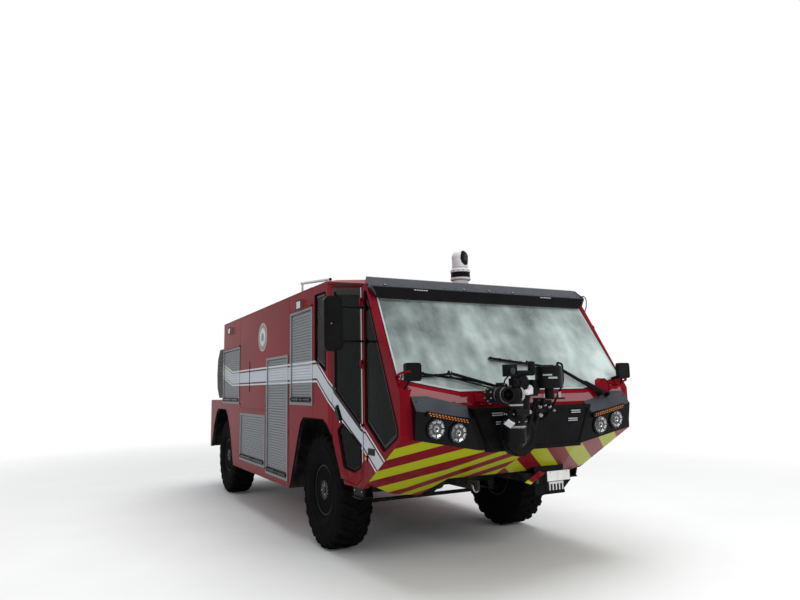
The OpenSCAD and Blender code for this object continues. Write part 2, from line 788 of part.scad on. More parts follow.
// Seats: [x, y] of the middle of each cushion
seat_table = [[680, 0], [520, 780], [520, -780]];
module seat(base_z) {
    translate([-160, -160, base_z]) cube([320, 320, 1690 - base_z]);
    translate([-240, -250, 1690]) cube([500, 500, 130]);
    translate([-330, -240, 1700]) rotate([0, -8, 0]) cube([110, 480, 760]);
}
module seats() color([0.12, 0.12, 0.13]) from_axle() {
    for (s = seat_table) translate([s[0], s[1], 0]) seat(abs(s[1]) > 500 ? arch_top_z + 60 : deck_z + floor_t);
}
dash_half = nose_half_w - 72;
dash_section = [[1560, deck_z + floor_t], [1900, deck_z + floor_t], [2020, 1500], [1930, 1840],
    [1700, 1860], [1540, 1760], [1500, 1600]];
module dashboard() color([0.1, 0.1, 0.11]) from_axle() {
    intersection() {
        side_plate(dash_section, -dash_half, dash_half);
        cab_form(wall);
    }
    // The steering wheel on its column
    translate([1330, 0, 1800]) rotate([0, -40, 0]) {
        rotate_extrude() translate([205, 0]) circle(r = 14);
        translate([0, 0, -30]) cylinder(r = 60, h = 40);
        for (a = [90, 210, 330]) rotate([0, 0, a]) rod([0, 0, -5], [200, 0, -5], 10);
        translate([0, 0, -330]) cylinder(r = 28, h = 310);
    }
}

module intake_housing() color(black) from_axle() {
    translate([rear_wall_x, -half_w + 20, 1720]) rotate([90, 0, 0]) mirror([1, 0, 0])
        translate([0, 0, -150]) linear_extrude(150)
            polygon([[0, 0], [420, 0], [600, 180], [650, 450], [600, 740], [420, 920], [0, 920]]);
}

module fittings() color(black) from_axle() {
    // Siren box with the plate holder, under the left of the chevron panel
    difference() {
        block([1480, 440, 645], [1620, 860, 1100]);
        above_belly(0);
    }
    // Step brackets under the doors
    both_sides() side_plate([[940, cab_sill_z], [1230, cab_sill_z], [1195, 725], [985, 725]],
        cab_side_y(1230) - wall, cab_side_y(1230) - wall / 2);
}

module tyre(s) {
    rotate([-90 * s, 0, 0]) rotate_extrude($fn = 64) polygon([[rim_r, -150], [360, -185], [560, -200],
        [640, -180], [667, -150], [667, 150], [640, 180], [560, 200], [360, 185], [rim_r, 150]]);
}
// The hub turns on a spindle that ends inside it
hub_inner = 60;
spindle_r = 60;
spindle_end = 60;
module spindle(s) {
    rotate([-90 * s, 0, 0]) translate([0, 0, -hub_inner - 70]) cylinder(r = spindle_r, h = hub_inner + 70 + spindle_end);
}
hub_r = 112;
hand_hole_r = 24;
hand_hole_count = 10;
module wheel(s) {
    rotate([-90 * s, 0, 0]) difference() {
        rotate_extrude($fn = 64) polygon([[spindle_r + bearing, -hub_inner], [115, -hub_inner], [125, 20],
            [rim_r - 20, 36], [rim_r - 20, -150], [rim_r, -150], [rim_r, 150], [rim_r - 12, 150],
            [rim_r - 24, 76], [hub_r + 38, 62], [hub_r + 26, 116], [hub_r, 150], [0, 150],
            [0, spindle_end + play], [spindle_r + bearing, spindle_end + play]]);
        for (i = [0:hand_hole_count - 1]) rotate([0, 0, (i + 0.5) * 360 / hand_hole_count])
            translate([rim_r - 70, 0, 0]) cylinder(r = hand_hole_r, h = 120);
    }
}
module at_front(s) { translate([0, s * wheel_y, tyre_r]) children(); }
module at_rear(s) { translate([-wheelbase, s * wheel_y, tyre_r]) children(); }
module tyre_front_left() color(black) from_axle() at_front(1) tyre(1);
module tyre_front_right() color(black) from_axle() at_front(-1) tyre(-1);
module tyre_rear_left() color(black) from_axle() at_rear(1) tyre(1);
module tyre_rear_right() color(black) from_axle() at_rear(-1) tyre(-1);
module wheel_front_left() color(steel) from_axle() at_front(1) wheel(1);
module wheel_front_right() color(steel) from_axle() at_front(-1) wheel(-1);
module wheel_rear_left() color(steel) from_axle() at_rear(1) wheel(1);
module wheel_rear_right() color(steel) from_axle() at_rear(-1) wheel(-1);

// The steering knuckle: two ears on the kingpin, a plate outside the axle's end, spindle and arm
rod_joint = [-230, -60];
arm_t = 30;
module knuckle() {
    difference() {
        translate([0, kingpin_y, tyre_r]) {
            for (z = [-ear_z[1], ear_z[0]]) hull() {
                translate([0, 0, z]) cylinder(r = 56, h = ear_z[1] - ear_z[0]);
                translate([-60, axle_r - 20, z]) cube([120, 50, ear_z[1] - ear_z[0]]);
            }
            translate([-60, axle_r + play, -ear_z[1]]) cube([120, 30, 2 * ear_z[1]]);
            translate([0, kingpin_offset, 0]) spindle(1);
            translate([0, 0, -ear_z[1]]) linear_extrude(arm_t)
                polygon([[-40, 40], [-40, -50], rod_joint - [0, 36], rod_joint + [-36, 0], rod_joint + [0, 36]]);
        }
        translate([0, kingpin_y, 0]) cylinder(r = pin_r + bearing, h = 2 * tyre_r);
    }
}
module knuckle_left() color(steel) from_axle() knuckle();
module knuckle_right() color(steel) from_axle() mirror([0, 1, 0]) knuckle();
// The track rod lies under the ends of the two arms
track_rod_r = 24;
module track_rod() color(steel) from_axle() {
    z = tyre_r - ear_z[1] - bearing - 30;
    y = kingpin_y + rod_joint[1];
    rod([rod_joint[0], -y, z], [rod_joint[0], y, z], track_rod_r);
    for (s = sides) translate([rod_joint[0], s * y, z - 30]) cylinder(r = 34, h = 60);
}

chassis();
front_axle();
rear_axle();
engine_block();
driveline();
body_front();
body_tank();
body_rear();
rear_deck();
roller_shutters();
cab_shell();
cab_floor();
hood();
light_panels();
bumper_box();
chevron_panel();
door_left();
door_right();
door_glass_left();
door_glass_right();
glazing();
visor();
lamps();
turret_base();
turret_pan();
turret_tilt();
camera_head();
roof_fittings();
mirrors();
wipers();
seats();
dashboard();
intake_housing();
fittings();
knuckle_left();
knuckle_right();
track_rod();
tyre_front_left();
tyre_front_right();
tyre_rear_left();
tyre_rear_right();
wheel_front_left();
wheel_front_right();
wheel_rear_left();
wheel_rear_right();
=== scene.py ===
"""Airport fire truck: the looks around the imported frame.

X runs forward, Y to the vehicle's left, Z up, in metres. at(x, y, z) measures x from the front axle.
Turned profiles and bolt circles are in millimetres.
"""
import math

import bmesh
import bpy
from mathutils import Matrix, Vector


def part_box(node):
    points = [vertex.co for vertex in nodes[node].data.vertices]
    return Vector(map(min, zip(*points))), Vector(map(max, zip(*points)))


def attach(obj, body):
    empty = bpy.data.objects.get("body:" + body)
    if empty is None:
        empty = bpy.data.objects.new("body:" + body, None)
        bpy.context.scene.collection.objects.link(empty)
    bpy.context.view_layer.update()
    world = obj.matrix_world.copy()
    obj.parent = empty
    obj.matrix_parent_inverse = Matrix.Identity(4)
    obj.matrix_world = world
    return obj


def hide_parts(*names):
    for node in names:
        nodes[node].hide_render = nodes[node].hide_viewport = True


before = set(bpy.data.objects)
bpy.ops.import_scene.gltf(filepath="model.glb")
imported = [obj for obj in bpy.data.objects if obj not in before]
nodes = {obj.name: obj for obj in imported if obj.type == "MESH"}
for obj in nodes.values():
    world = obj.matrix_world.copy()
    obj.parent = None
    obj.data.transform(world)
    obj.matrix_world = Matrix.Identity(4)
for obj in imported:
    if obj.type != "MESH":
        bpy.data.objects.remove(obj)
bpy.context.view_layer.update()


def centre(node):
    low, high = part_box(node)
    return (low + high) / 2


FRONT_X = centre("tyre_front_left").x
WHEELBASE = FRONT_X - centre("tyre_rear_left").x
HALF_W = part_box("body_tank")[1].y
SIDES = (-1, 1)
MM = 0.001
X, Y, Z = Vector((1, 0, 0)), Vector((0, 1, 0)), Vector((0, 0, 1))


def at(x, y, z):
    return Vector((FRONT_X + x, y, z))


# Materials


class Paint:
    """A material under construction: a Principled shader and short ways to add nodes before it."""

    def __init__(self, name, **settings):
        self.mat = bpy.data.materials.new(name)
        self.mat.use_nodes = True
        self.tree = self.mat.node_tree
        self.shader = self.tree.nodes["Principled BSDF"]
        for key, value in settings.items():
            self.set(key.replace("_", " ").title().replace("Ior", "IOR"), value)

    def set(self, socket, value):
        """Gives a shader input a fixed value, or links it to a node's output."""
        target = self.shader.inputs[socket]
        if isinstance(value, bpy.types.NodeSocket):
            self.tree.links.new(value, target)
        elif hasattr(value, "__len__"):
            target.default_value = (*value, 1) if len(value) == 3 else value
        else:
            target.default_value = value

    def node(self, kind, inputs=(), **settings):
        made = self.tree.nodes.new(kind)
        for key, value in settings.items():
            setattr(made, key, value)
        for key, value in dict(inputs).items():
            socket = made.inputs[key]
            if isinstance(value, bpy.types.NodeSocket):
                self.tree.links.new(value, socket)
            else:
                socket.default_value = value
        return made

    def math(self, operation, a, b=0.0, c=0.0):
        inputs = {0: a, 1: b}
        if operation in ("MULTIPLY_ADD", "COMPARE"):
            inputs[2] = c
        return self.node("ShaderNodeMath", inputs, operation=operation).outputs[0]

    def place(self):
        """The point in the frame, before any joint moves: its X from the front axle, Y and Z."""
        coords = self.node("ShaderNodeTexCoord").outputs["Object"]
        split = self.node("ShaderNodeSeparateXYZ", {0: coords})
        x = self.math("SUBTRACT", split.outputs[0], FRONT_X)
        return x, split.outputs[1], split.outputs[2]

    def between(self, value, low, high):
        above = self.math("GREATER_THAN", value, low)
        below = self.math("LESS_THAN", value, high)
        return self.math("MULTIPLY", above, below)

    def noise(self, scale, detail=3.0, roughness=0.5, stretch=(1, 1, 1)):
        coords = self.node("ShaderNodeTexCoord").outputs["Object"]
        mapping = self.node("ShaderNodeMapping", {0: coords, "Scale": stretch})
        inputs = {0: mapping.outputs[0], "Scale": scale, "Detail": detail, "Roughness": roughness}
        return self.node("ShaderNodeTexNoise", inputs).outputs[0]

    def spread(self, value, low, high, start=0.0, end=1.0):
        inputs = {0: value, 1: low, 2: high, 3: start, 4: end}
        return self.node("ShaderNodeMapRange", inputs, clamp=True).outputs[0]

    def blend(self, factor, a, b):
        made = self.node("ShaderNodeMix", data_type="RGBA")
        for socket, value in zip((made.inputs[0], made.inputs[6], made.inputs[7]), (factor, a, b)):
            if isinstance(value, bpy.types.NodeSocket):
                self.tree.links.new(value, socket)
            else:
                socket.default_value = (*value, 1) if hasattr(value, "__len__") else value
        return made.outputs[2]

    def bump(self, height, strength, distance, normal=None):
        inputs = {"Height": height, "Strength": strength, "Distance": distance}
        if normal is not None:
            inputs["Normal"] = normal
        out = self.node("ShaderNodeBump", inputs).outputs[0]
        self.set("Normal", out)
        return out

    def soft_edges(self, radius):
        return self.node("ShaderNodeBevel", {"Radius": radius}, samples=4).outputs[0]


RED = (0.19, 0.004, 0.011)
BAND_WHITE = (0.46, 0.5, 0.54)
LINE_WHITE = (0.58, 0.61, 0.63)
GAP_DARK = (0.08, 0.012, 0.02)
SLAT_SILVER = (0.17, 0.18, 0.19)
DUST = (0.2, 0.17, 0.13)

# The band along the side: how far out it lies, its lower and upper line, the widths of line and gap,
# and where it bends
BAND_MIN_Y = 1.4
BAND_LOW = 1.932
BAND_HIGH = 2.19
LINE_W = 0.022
GAP_W = 0.025
BAND_BEND_X = 0.145
BAND_SLOPE = 0.64
KINK_X = -4.14
KINK_SLOPE = 0.215


def band_masks(p):
    """Masks of the whole band, of its two dark gaps and of its wide middle."""
    x, y, z = p.place()
    front = p.math("MAXIMUM", p.math("SUBTRACT", x, BAND_BEND_X), 0.0)
    rear = p.math("MAXIMUM", p.math("SUBTRACT", KINK_X, x), 0.0)
    height = p.math("MULTIPLY_ADD", front, BAND_SLOPE, z)
    height = p.math("MULTIPLY_ADD", rear, -KINK_SLOPE, height)
    outside = p.math("GREATER_THAN", p.math("ABSOLUTE", y), BAND_MIN_Y)
    whole = p.math("MULTIPLY", p.between(height, BAND_LOW, BAND_HIGH), outside)
    inner = p.between(height, BAND_LOW + LINE_W, BAND_HIGH - LINE_W)
    middle = p.between(height, BAND_LOW + LINE_W + GAP_W, BAND_HIGH - LINE_W - GAP_W)
    return whole, inner, middle


def banded(p, base, gap):
    """A colour with the side's band over it."""
    whole, inner, middle = band_masks(p)
    tape = p.blend(inner, LINE_WHITE, gap)
    tape = p.blend(middle, tape, BAND_WHITE)
    return p.blend(whole, base, tape)


def aged_red(p):
    """Red paint with slight cloudiness and road dust low down."""
    x, y, z = p.place()
    cloud = p.noise(1.7, 4.0)
    deep = tuple(c * 0.8 for c in RED)
    red = p.blend(p.spread(cloud, 0.35, 0.65), deep, RED)
    low = p.spread(z, 1.25, 0.55)
    grime = p.math("MULTIPLY", low, p.spread(p.noise(9.0, 6.0, 0.65), 0.42, 0.75, 0.0, 0.45))
    return p.blend(grime, red, DUST), grime


def orange_peel(p):
    """The faint waves and soft edges of sprayed paint."""
    p.bump(p.noise(38.0, 2.0), 0.05, 0.004, p.soft_edges(0.006))
    return p.mat


def make_red(name, with_band=True, coat=0.1, coat_ior=1.15):
    p = Paint(name, coat_weight=coat, coat_roughness=0.05, coat_ior=coat_ior, specular_ior_level=0.02)
    red, grime = aged_red(p)
    p.set("Base Color", banded(p, red, GAP_DARK) if with_band else red)
    p.set("Roughness", p.spread(grime, 0.0, 0.4, 0.3, 0.62))
    return orange_peel(p)


# The stripes under the nose: period and where a green stripe starts, measured along x * lean + |y|
STRIPE_LEAN = 1.15
RIGHT_STRIPES = (0.435, 2.61)
LEFT_STRIPES = (0.48, 2.41)
STRIPE_GREEN = (0.36, 0.38, 0.01)


def make_chevron(name):
    p = Paint(name, coat_weight=0.1, coat_roughness=0.08, coat_ior=1.15, specular_ior_level=0.03)
    x, y, z = p.place()
    along = p.math("MULTIPLY_ADD", x, STRIPE_LEAN, p.math("ABSOLUTE", y))
    masks = []
    for period, start in (RIGHT_STRIPES, LEFT_STRIPES):
        turns = p.math("DIVIDE", p.math("SUBTRACT", along, start), period)
        masks.append(p.math("LESS_THAN", p.math("FRACT", turns), 0.5))
    is_left = p.math("GREATER_THAN", y, 0.0)
    right_part = p.math("MULTIPLY", masks[0], p.math("SUBTRACT", 1.0, is_left))
    green = p.math("ADD", right_part, p.math("MULTIPLY", masks[1], is_left))
    red, grime = aged_red(p)
    p.set("Base Color", p.blend(green, red, STRIPE_GREEN))
    p.set("Roughness", p.spread(grime, 0.0, 0.4, 0.34, 0.6))
    return orange_peel(p)


def make_slats(name):
    p = Paint(name, metallic=0.1, specular_ior_level=0.08)
    streaks = p.noise(30.0, 3.0, 0.5, (0.6, 8, 8))
    bright = tuple(c * 1.12 for c in SLAT_SILVER)
    base = p.blend(p.spread(streaks, 0.3, 0.7), SLAT_SILVER, bright)
    p.set("Base Color", banded(p, base, (0.28, 0.29, 0.31)))
    p.set("Roughness", p.spread(streaks, 0.3, 0.7, 0.36, 0.52))
    p.bump(streaks, 0.08, 0.002)
    return p.mat


def make_metal(name, colour, roughness, streak=0.08, metallic=1.0):
    p = Paint(name, metallic=metallic)
    marks = p.noise(60.0, 4.0, 0.6, (1, 1, 6))
    dull = tuple(c * 0.85 for c in colour)
    p.set("Base Color", p.blend(p.spread(marks, 0.35, 0.65), dull, colour))
    p.set("Roughness", p.spread(marks, 0.3, 0.7, roughness - streak, roughness + streak))
    p.bump(marks, 0.06, 0.001, p.soft_edges(0.002))
    return p.mat


def make_plastic(name, colour, roughness, grain=260.0, strength=0.12, dust=0.0, specular=0.18):
    p = Paint(name, specular_ior_level=specular)
    cloud = p.noise(6.0, 4.0)
    light = tuple(c * 1.35 + 0.001 for c in colour)
    base = p.blend(p.spread(cloud, 0.35, 0.7), colour, light)
    if dust:
        mask = p.math("MULTIPLY", p.spread(p.noise(5.0, 6.0, 0.7), 0.45, 0.75), dust)
        base = p.blend(mask, base, DUST)
    p.set("Base Color", base)
    p.set("Roughness", p.spread(cloud, 0.3, 0.7, roughness - 0.05, roughness + 0.07))
    p.bump(p.noise(grain, 2.0), strength, 0.001, p.soft_edges(0.003))
    return p.mat


def make_rubber(name):
    p = Paint(name, specular_ior_level=0.01)
    cloud = p.noise(11.0, 6.0, 0.65)
    worn = p.spread(cloud, 0.45, 0.8, 0.0, 0.4)
    p.set("Base Color", p.blend(worn, (0.005, 0.005, 0.0055), (0.018, 0.017, 0.015)))
    p.set("Roughness", p.spread(cloud, 0.3, 0.7, 0.62, 0.85))
    p.bump(p.noise(120.0, 3.0), 0.2, 0.002)
    return p.mat


def make_glass(name, tint):
    p = Paint(name, transmission_weight=1.0, ior=1.45, base_color=tint, specular_ior_level=0.12)
    p.set("Roughness", p.spread(p.noise(3.0, 3.0), 0.3, 0.7, 0.0, 0.02))
    return p.mat


def make_glow(name, colour, strength):
    p = Paint(name, base_color=colour, emission_color=colour, roughness=0.2)
    p.set("Emission Strength", strength)
    p.bump(p.noise(90.0, 1.0), 0.1, 0.001)
    return p.mat


def make_weave(name, colour):
    p = Paint(name, sheen_weight=0.35, sheen_roughness=0.4, specular_ior_level=0.2, roughness=0.85)
    coords = p.node("ShaderNodeTexCoord").outputs["Object"]
    waves = []
    for direction in "YZ":
        inputs = {"Vector": coords, "Scale": 190.0, "Distortion": 0.6}
        waves.append(p.node("ShaderNodeTexWave", inputs, bands_direction=direction).outputs[1])
    weave = p.math("MULTIPLY", *waves)
    light = tuple(c * 1.7 + 0.01 for c in colour)
    p.set("Base Color", p.blend(weave, colour, light))
    p.bump(weave, 0.4, 0.0015)
    return p.mat


def make_lens(name, tint):
    p = Paint(name, transmission_weight=0.55, ior=1.49, base_color=tint, specular_ior_level=0.15)
    p.set("Roughness", p.spread(p.noise(14.0, 3.0), 0.3, 0.7, 0.05, 0.12))
    p.bump(p.noise(160.0, 1.0), 0.25, 0.001)
    return p.mat


def make_screen(name):
    """The windscreen: laminated glass whose colour holds a painted reflection of a cloudy sky with long
    upright streaks, and fine dust.
    """
    p = Paint(name, ior=1.5, specular_ior_level=0.3)
    x, y, z = p.place()
    # Painted reflection of a cloudy sky: brighter towards the left and the foot, with clouds and long
    # upright streaks over it
    painted_sky_sweep = p.math("MULTIPLY_ADD", y, 0.16, p.math("MULTIPLY_ADD", z, -0.42, 1.45))
    cloud = p.math("MULTIPLY_ADD", p.noise(1.5, 3.0, 0.5, (1, 1, 1.4)), 1.5, -0.75)
    streak = p.math("MULTIPLY_ADD", p.noise(5.0, 3.0, 0.5, (1, 1, 0.1)), 0.9, -0.45)
    light = p.math("ADD", p.math("ADD", painted_sky_sweep, cloud), streak)
    light = p.spread(light, 0.0, 1.0, 0.12, 1.0)
    dust = p.spread(p.noise(26.0, 5.0, 0.6), 0.35, 0.8, 0.0, 0.22)
    # The painted reflection sets the glass's colour under the dust, and the glass lets less through where
    # the reflection is bright
    painted_reflection_tone = p.blend(light, (0.105, 0.16, 0.155), (0.62, 0.72, 0.69))
    p.set("Base Color", p.blend(dust, painted_reflection_tone, (0.5, 0.53, 0.5)))
    p.set("Transmission Weight", p.spread(light, 0.0, 1.0, 0.7, 0.22))
    p.set("Roughness", p.spread(dust, 0.0, 0.22, 0.04, 0.1))
    return p.mat


def make_tint(name):
    p = Paint(name, ior=1.08, specular_ior_level=0.02)
    cloud = p.spread(p.noise(1.3, 3.0, 0.5), 0.35, 0.65)
    p.set("Base Color", p.blend(cloud, (0.045, 0.06, 0.058), (0.085, 0.105, 0.1)))
    p.set("Transmission Weight", p.spread(cloud, 0.0, 1.0, 0.95, 0.92))
    p.set("Roughness", p.spread(cloud, 0.0, 1.0, 0.015, 0.025))
    return p.mat


EIGHTH_TURN = 0.785


def make_tread(name):
    """Chequered plate: short raised bars in two directions."""
    p = Paint(name, metallic=0.9)
    coords = p.node("ShaderNodeTexCoord").outputs["Object"]
    waves = []
    for turn in (EIGHTH_TURN, -EIGHTH_TURN):
        mapping = p.node("ShaderNodeMapping", {0: coords, "Rotation": (0, 0, turn)})
        inputs = {"Vector": mapping.outputs[0], "Scale": 16.0}
        waves.append(p.node("ShaderNodeTexWave", inputs).outputs[1])
    bars = p.math("POWER", p.math("MULTIPLY", *waves), 2.0)
    wear = p.noise(7.0, 4.0)
    dull, bright = (0.34, 0.345, 0.35), (0.5, 0.505, 0.51)
    p.set("Base Color", p.blend(p.spread(wear, 0.35, 0.7), dull, bright))
    p.set("Roughness", p.spread(wear, 0.3, 0.7, 0.38, 0.6))
    p.bump(bars, 0.5, 0.003)
    return p.mat


MAT = {
    "red": make_red("red_paint"),
    "hood_red": make_red("hood_paint", False, 1.0, 2.0),
    "chevron": make_chevron("chevron_tape"),
    "slats": make_slats("shutter_slats"),
    "aluminium": make_metal("satin_aluminium", (0.42, 0.43, 0.44), 0.34),
    "chrome": make_metal("chrome", (0.8, 0.8, 0.8), 0.08, 0.03),
    "steel_black": make_plastic("chassis_paint", (0.008, 0.008, 0.009), 0.5, 90.0, 0.1, 0.35),
    "rim": make_plastic("rim_paint", (0.012, 0.012, 0.013), 0.42, 70.0, 0.06, 0.12, 0.12),
    "black": make_plastic("black_moulding", (0.005, 0.005, 0.0055), 0.42, specular=0.05),
    "gloss_black": make_plastic("gloss_black", (0.003, 0.003, 0.0035), 0.14, 30.0, 0.03, 0.0, 0.09),
    "turret": make_plastic("turret_paint", (0.005, 0.005, 0.0055), 0.3, 80.0, 0.08, 0.0, 0.07),
    "trim": make_plastic("cab_trim", (0.016, 0.016, 0.018), 0.7, 200.0, 0.2),
    "engine": make_plastic("engine_paint", (0.07, 0.07, 0.075), 0.5, 60.0, 0.15, 0.3),
    "white": make_plastic("white_moulding", (0.5, 0.51, 0.52), 0.3, 60.0, 0.03, specular=0.1),
    "rubber": make_rubber("tyre_rubber"),
    "lens": make_glass("lamp_lens", (0.95, 0.96, 0.97)),
    "amber": make_glow("amber_leds", (0.5, 0.13, 0.01), 0.05),
    "lamp_white": make_glow("white_leds", (0.42, 0.43, 0.45), 0.1),
    "lamp_red": make_glow("red_lens", (0.45, 0.01, 0.01), 0.1),
    "mirror": make_metal("mirror_silver", (0.85, 0.86, 0.87), 0.03, 0.01),
    "fabric": make_weave("seat_weave", (0.02, 0.021, 0.025)),
    "pale_line": make_plastic("pale_border", (0.3, 0.33, 0.33), 0.45, 60.0, 0.04),
    "steel_nut": make_metal("bright_steel", (0.36, 0.36, 0.37), 0.26, 0.08),
    "reflector": make_metal("lamp_reflector", (0.52, 0.53, 0.54), 0.22, 0.05),
    "plate": make_plastic("blank_plate", (0.68, 0.69, 0.68), 0.35, 40.0, 0.03),
    "amber_lens": make_lens("amber_lens", (0.8, 0.24, 0.02)),
    "tinted_lens": make_lens("tinted_lens", (0.02, 0.03, 0.04)),
    "post_green": make_plastic("cab_lining", (0.24, 0.32, 0.3), 0.6, 120.0, 0.1),
    "tape_green": make_plastic("tape_green", STRIPE_GREEN, 0.4, 40.0, 0.03),
    "gold": make_metal("gold_foil", (0.5, 0.34, 0.11), 0.35, 0.06, 0.4),
    "disc_blue": make_plastic("disc_blue", (0.1, 0.15, 0.2), 0.35, 40.0, 0.03),
    "disc_pale": make_plastic("disc_pale", (0.45, 0.47, 0.42), 0.35, 40.0, 0.03),
    "tread_plate": make_tread("tread_plate"),
    "belt": make_weave("belt_weave", (0.05, 0.05, 0.055)),
    "screen": make_screen("windscreen_glass"),
    "tint": make_tint("side_glass"),
    "grey_moulding": make_plastic("grey_moulding", (0.03, 0.033, 0.04), 0.36, 200.0, 0.08),
}

BODY_SHELLS = ["body_front", "body_tank", "body_rear", "rear_deck"]
CAB_SHELLS = ["cab_shell", "door_left", "door_right"]
CORNERS = ("front_left", "front_right", "rear_left", "rear_right")
NODE_MATERIALS = {
    "red": BODY_SHELLS + CAB_SHELLS,
    "hood_red": ["hood"],
    "chevron": ["chevron_panel"],
    "slats": ["roller_shutters"],
    "aluminium": ["roof_fittings"],
    "grey_moulding": ["light_panels", "visor"],
    "black": ["bumper_box", "intake_housing", "mirrors", "wipers", "fittings"],
    "turret": ["turret_base", "turret_pan", "turret_tilt"],
    "steel_black": ["chassis", "front_axle", "rear_axle", "driveline", "knuckle_left", "knuckle_right",
                    "track_rod"],
    "engine": ["engine_block"],
    "tint": ["door_glass_left", "door_glass_right", "glazing"],
    "reflector": ["lamps"],
    "white": ["camera_head"],
    "fabric": ["seats"],
    "trim": ["dashboard", "cab_floor"],
    "rubber": [f"tyre_{corner}" for corner in CORNERS],
    "rim": [f"wheel_{corner}" for corner in CORNERS],
}


for key, names in NODE_MATERIALS.items():
    for name in names:
        slots = nodes[name].data.materials
        slots.clear()
        slots.append(MAT[key])


def face_materials(name, key, chosen):
    """Gives the faces of a node for which chosen(centre, normal) holds another material."""
    mesh = nodes[name].data
    mesh.materials.append(MAT[key])
    index = len(mesh.materials) - 1
    for face in mesh.polygons:
        if chosen(face.center - at(0, 0, 0), face.normal):
            face.material_index = index


# Faces whose normal has more than this along an axis look that way
LOOKS = 0.6
CEILING_Z = 2.8
CAB_FRONT_X = 1.0
UNDERSIDE_Z = (0.6, 1.6)
SCREEN_FROM_X = 1.4


def faces_inwards(middle, normal):
    if abs(normal.y) > LOOKS:
        return normal.y * middle.y < 0
    if middle.z > CEILING_Z and normal.z < -LOOKS:
        return True
    return normal.x < -LOOKS and middle.x > CAB_FRONT_X


def is_underside(middle, normal):
    low, high = UNDERSIDE_Z
    return low < middle.z < high and abs(middle.y) < HALF_W - 2 * MM


# The inside of the cab and the wheel houses aren't red
for name in CAB_SHELLS + ["hood"]:
    face_materials(name, "trim", faces_inwards)
face_materials("glazing", "screen", lambda m, n: m.x > SCREEN_FROM_X and abs(n.y) < 0.5)
face_materials("visor", "black", lambda m, n: n.x > 0.98)
face_materials("light_panels", "gloss_black", lambda m, n: n.z < 0.2)
face_materials("chevron_panel", "red", lambda m, n: abs(n.y) > 0.75)
for name in BODY_SHELLS:
    face_materials(name, "steel_black", is_underside)

# Geometry helpers: every place is [x, y, z] in metres, with x measured from the front axle


def inset(outline, depth):
    """A closed 2-D outline moved inwards by depth, or outwards if depth is negative."""
    area = sum(a[0] * b[1] - b[0] * a[1] for a, b in zip(outline, outline[1:] + outline[:1]))
    turn = 1 if area > 0 else -1
    moved = []
    for i, p in enumerate(outline):
        a = (Vector(p) - Vector(outline[i - 1])).normalized()
        b = (Vector(outline[(i + 1) % len(outline)]) - Vector(p)).normalized()
        na, nb = Vector((-a.y, a.x)) * turn, Vector((-b.y, b.x)) * turn
        middle = (na + nb).normalized()
        moved.append(tuple(Vector(p) + middle * depth / max(0.3, middle.dot(na))))
    return moved


def corner(before, p, after, radius, steps):
    """The points of a curve that rounds the corner p."""
    to_before, to_after = Vector(before) - Vector(p), Vector(after) - Vector(p)
    reach = min(radius, to_before.length * 0.45, to_after.length * 0.45)
    a = Vector(p) + to_before.normalized() * reach
    b = Vector(p) + to_after.normalized() * reach
    shares = [k / steps for k in range(steps + 1)]
    return [a * (1 - t) ** 2 + Vector(p) * 2 * t * (1 - t) + b * t ** 2 for t in shares]


def rounded(outline, radius, steps=4):
    """A closed 2-D outline with its corners rounded."""
    shifted = zip(outline[-1:] + outline[:-1], outline, outline[1:] + outline[:1])
    return [tuple(p) for points in shifted for p in corner(*points, radius, steps)]


def bent(path, radius, steps=5):
    """An open 3-D path with its corners rounded."""
    corners = zip(path, path[1:], path[2:])
    return [path[0], *(p for points in corners for p in corner(*points, radius, steps)), path[-1]]


def across(direction):
    """Two directions at right angles to this one and to each other."""
    d = Vector(direction).normalized()
    side = d.cross(Z if abs(d.z) < 0.9 else X).normalized()
    return side, d.cross(side)


def turns(count, start=0.0):
    """The sine and cosine of turns at even steps from start."""
    angles = [start + 2 * math.pi * k / count for k in range(count)]
    return [(math.sin(t), math.cos(t)) for t in angles]


def stud(radius, height, tip, tip_radius, foot=0):
    """The profile of a short round bar with a chamfered end, in millimetres."""
    return [(foot, radius), (height, radius), (tip, tip_radius)]


def hoop(start, inner, outer, width):
    """The profile of a flat ring, in millimetres."""
    return [(start, inner), (start, outer), (start + width, outer), (start + width, inner)]


def rect(a0, b0, a1, b1):
    """The corners of a 2-D rectangle."""
    return [(a0, b0), (a1, b0), (a1, b1), (a0, b1)]


def lift(point, axis, level):
    """A 2-D point as a 3-D one, at a level along the axis that it lacks."""
    i = "xyz".index(axis)
    return (*point[:i], level, *point[i:])


SIDE_WIDTHS = ((0.5, 1.54), (1.29, 1.455), (2.078, 1.452), (2.106, 1.355))


def side_y(x):
    """Half the cab's width at x."""
    for (x0, y0), (x1, y1) in zip(SIDE_WIDTHS, SIDE_WIDTHS[1:]):
        if x <= x1:
            return y0 + (y1 - y0) * max(0.0, x - x0) / (x1 - x0)
    return SIDE_WIDTHS[-1][1]


SCREEN_LOW = (2.086, 1.79)
SCREEN_LEAN = (1.34 - 2.086) / (2.985 - 1.79)
SCREEN_OUT = Vector((1, 0, -SCREEN_LEAN)).normalized()


def screen(y, z, out=0.0):
    """A point on the windscreen's plane, out from it."""
    return Vector((SCREEN_LOW[0] + (z - SCREEN_LOW[1]) * SCREEN_LEAN, y, z)) + SCREEN_OUT * out


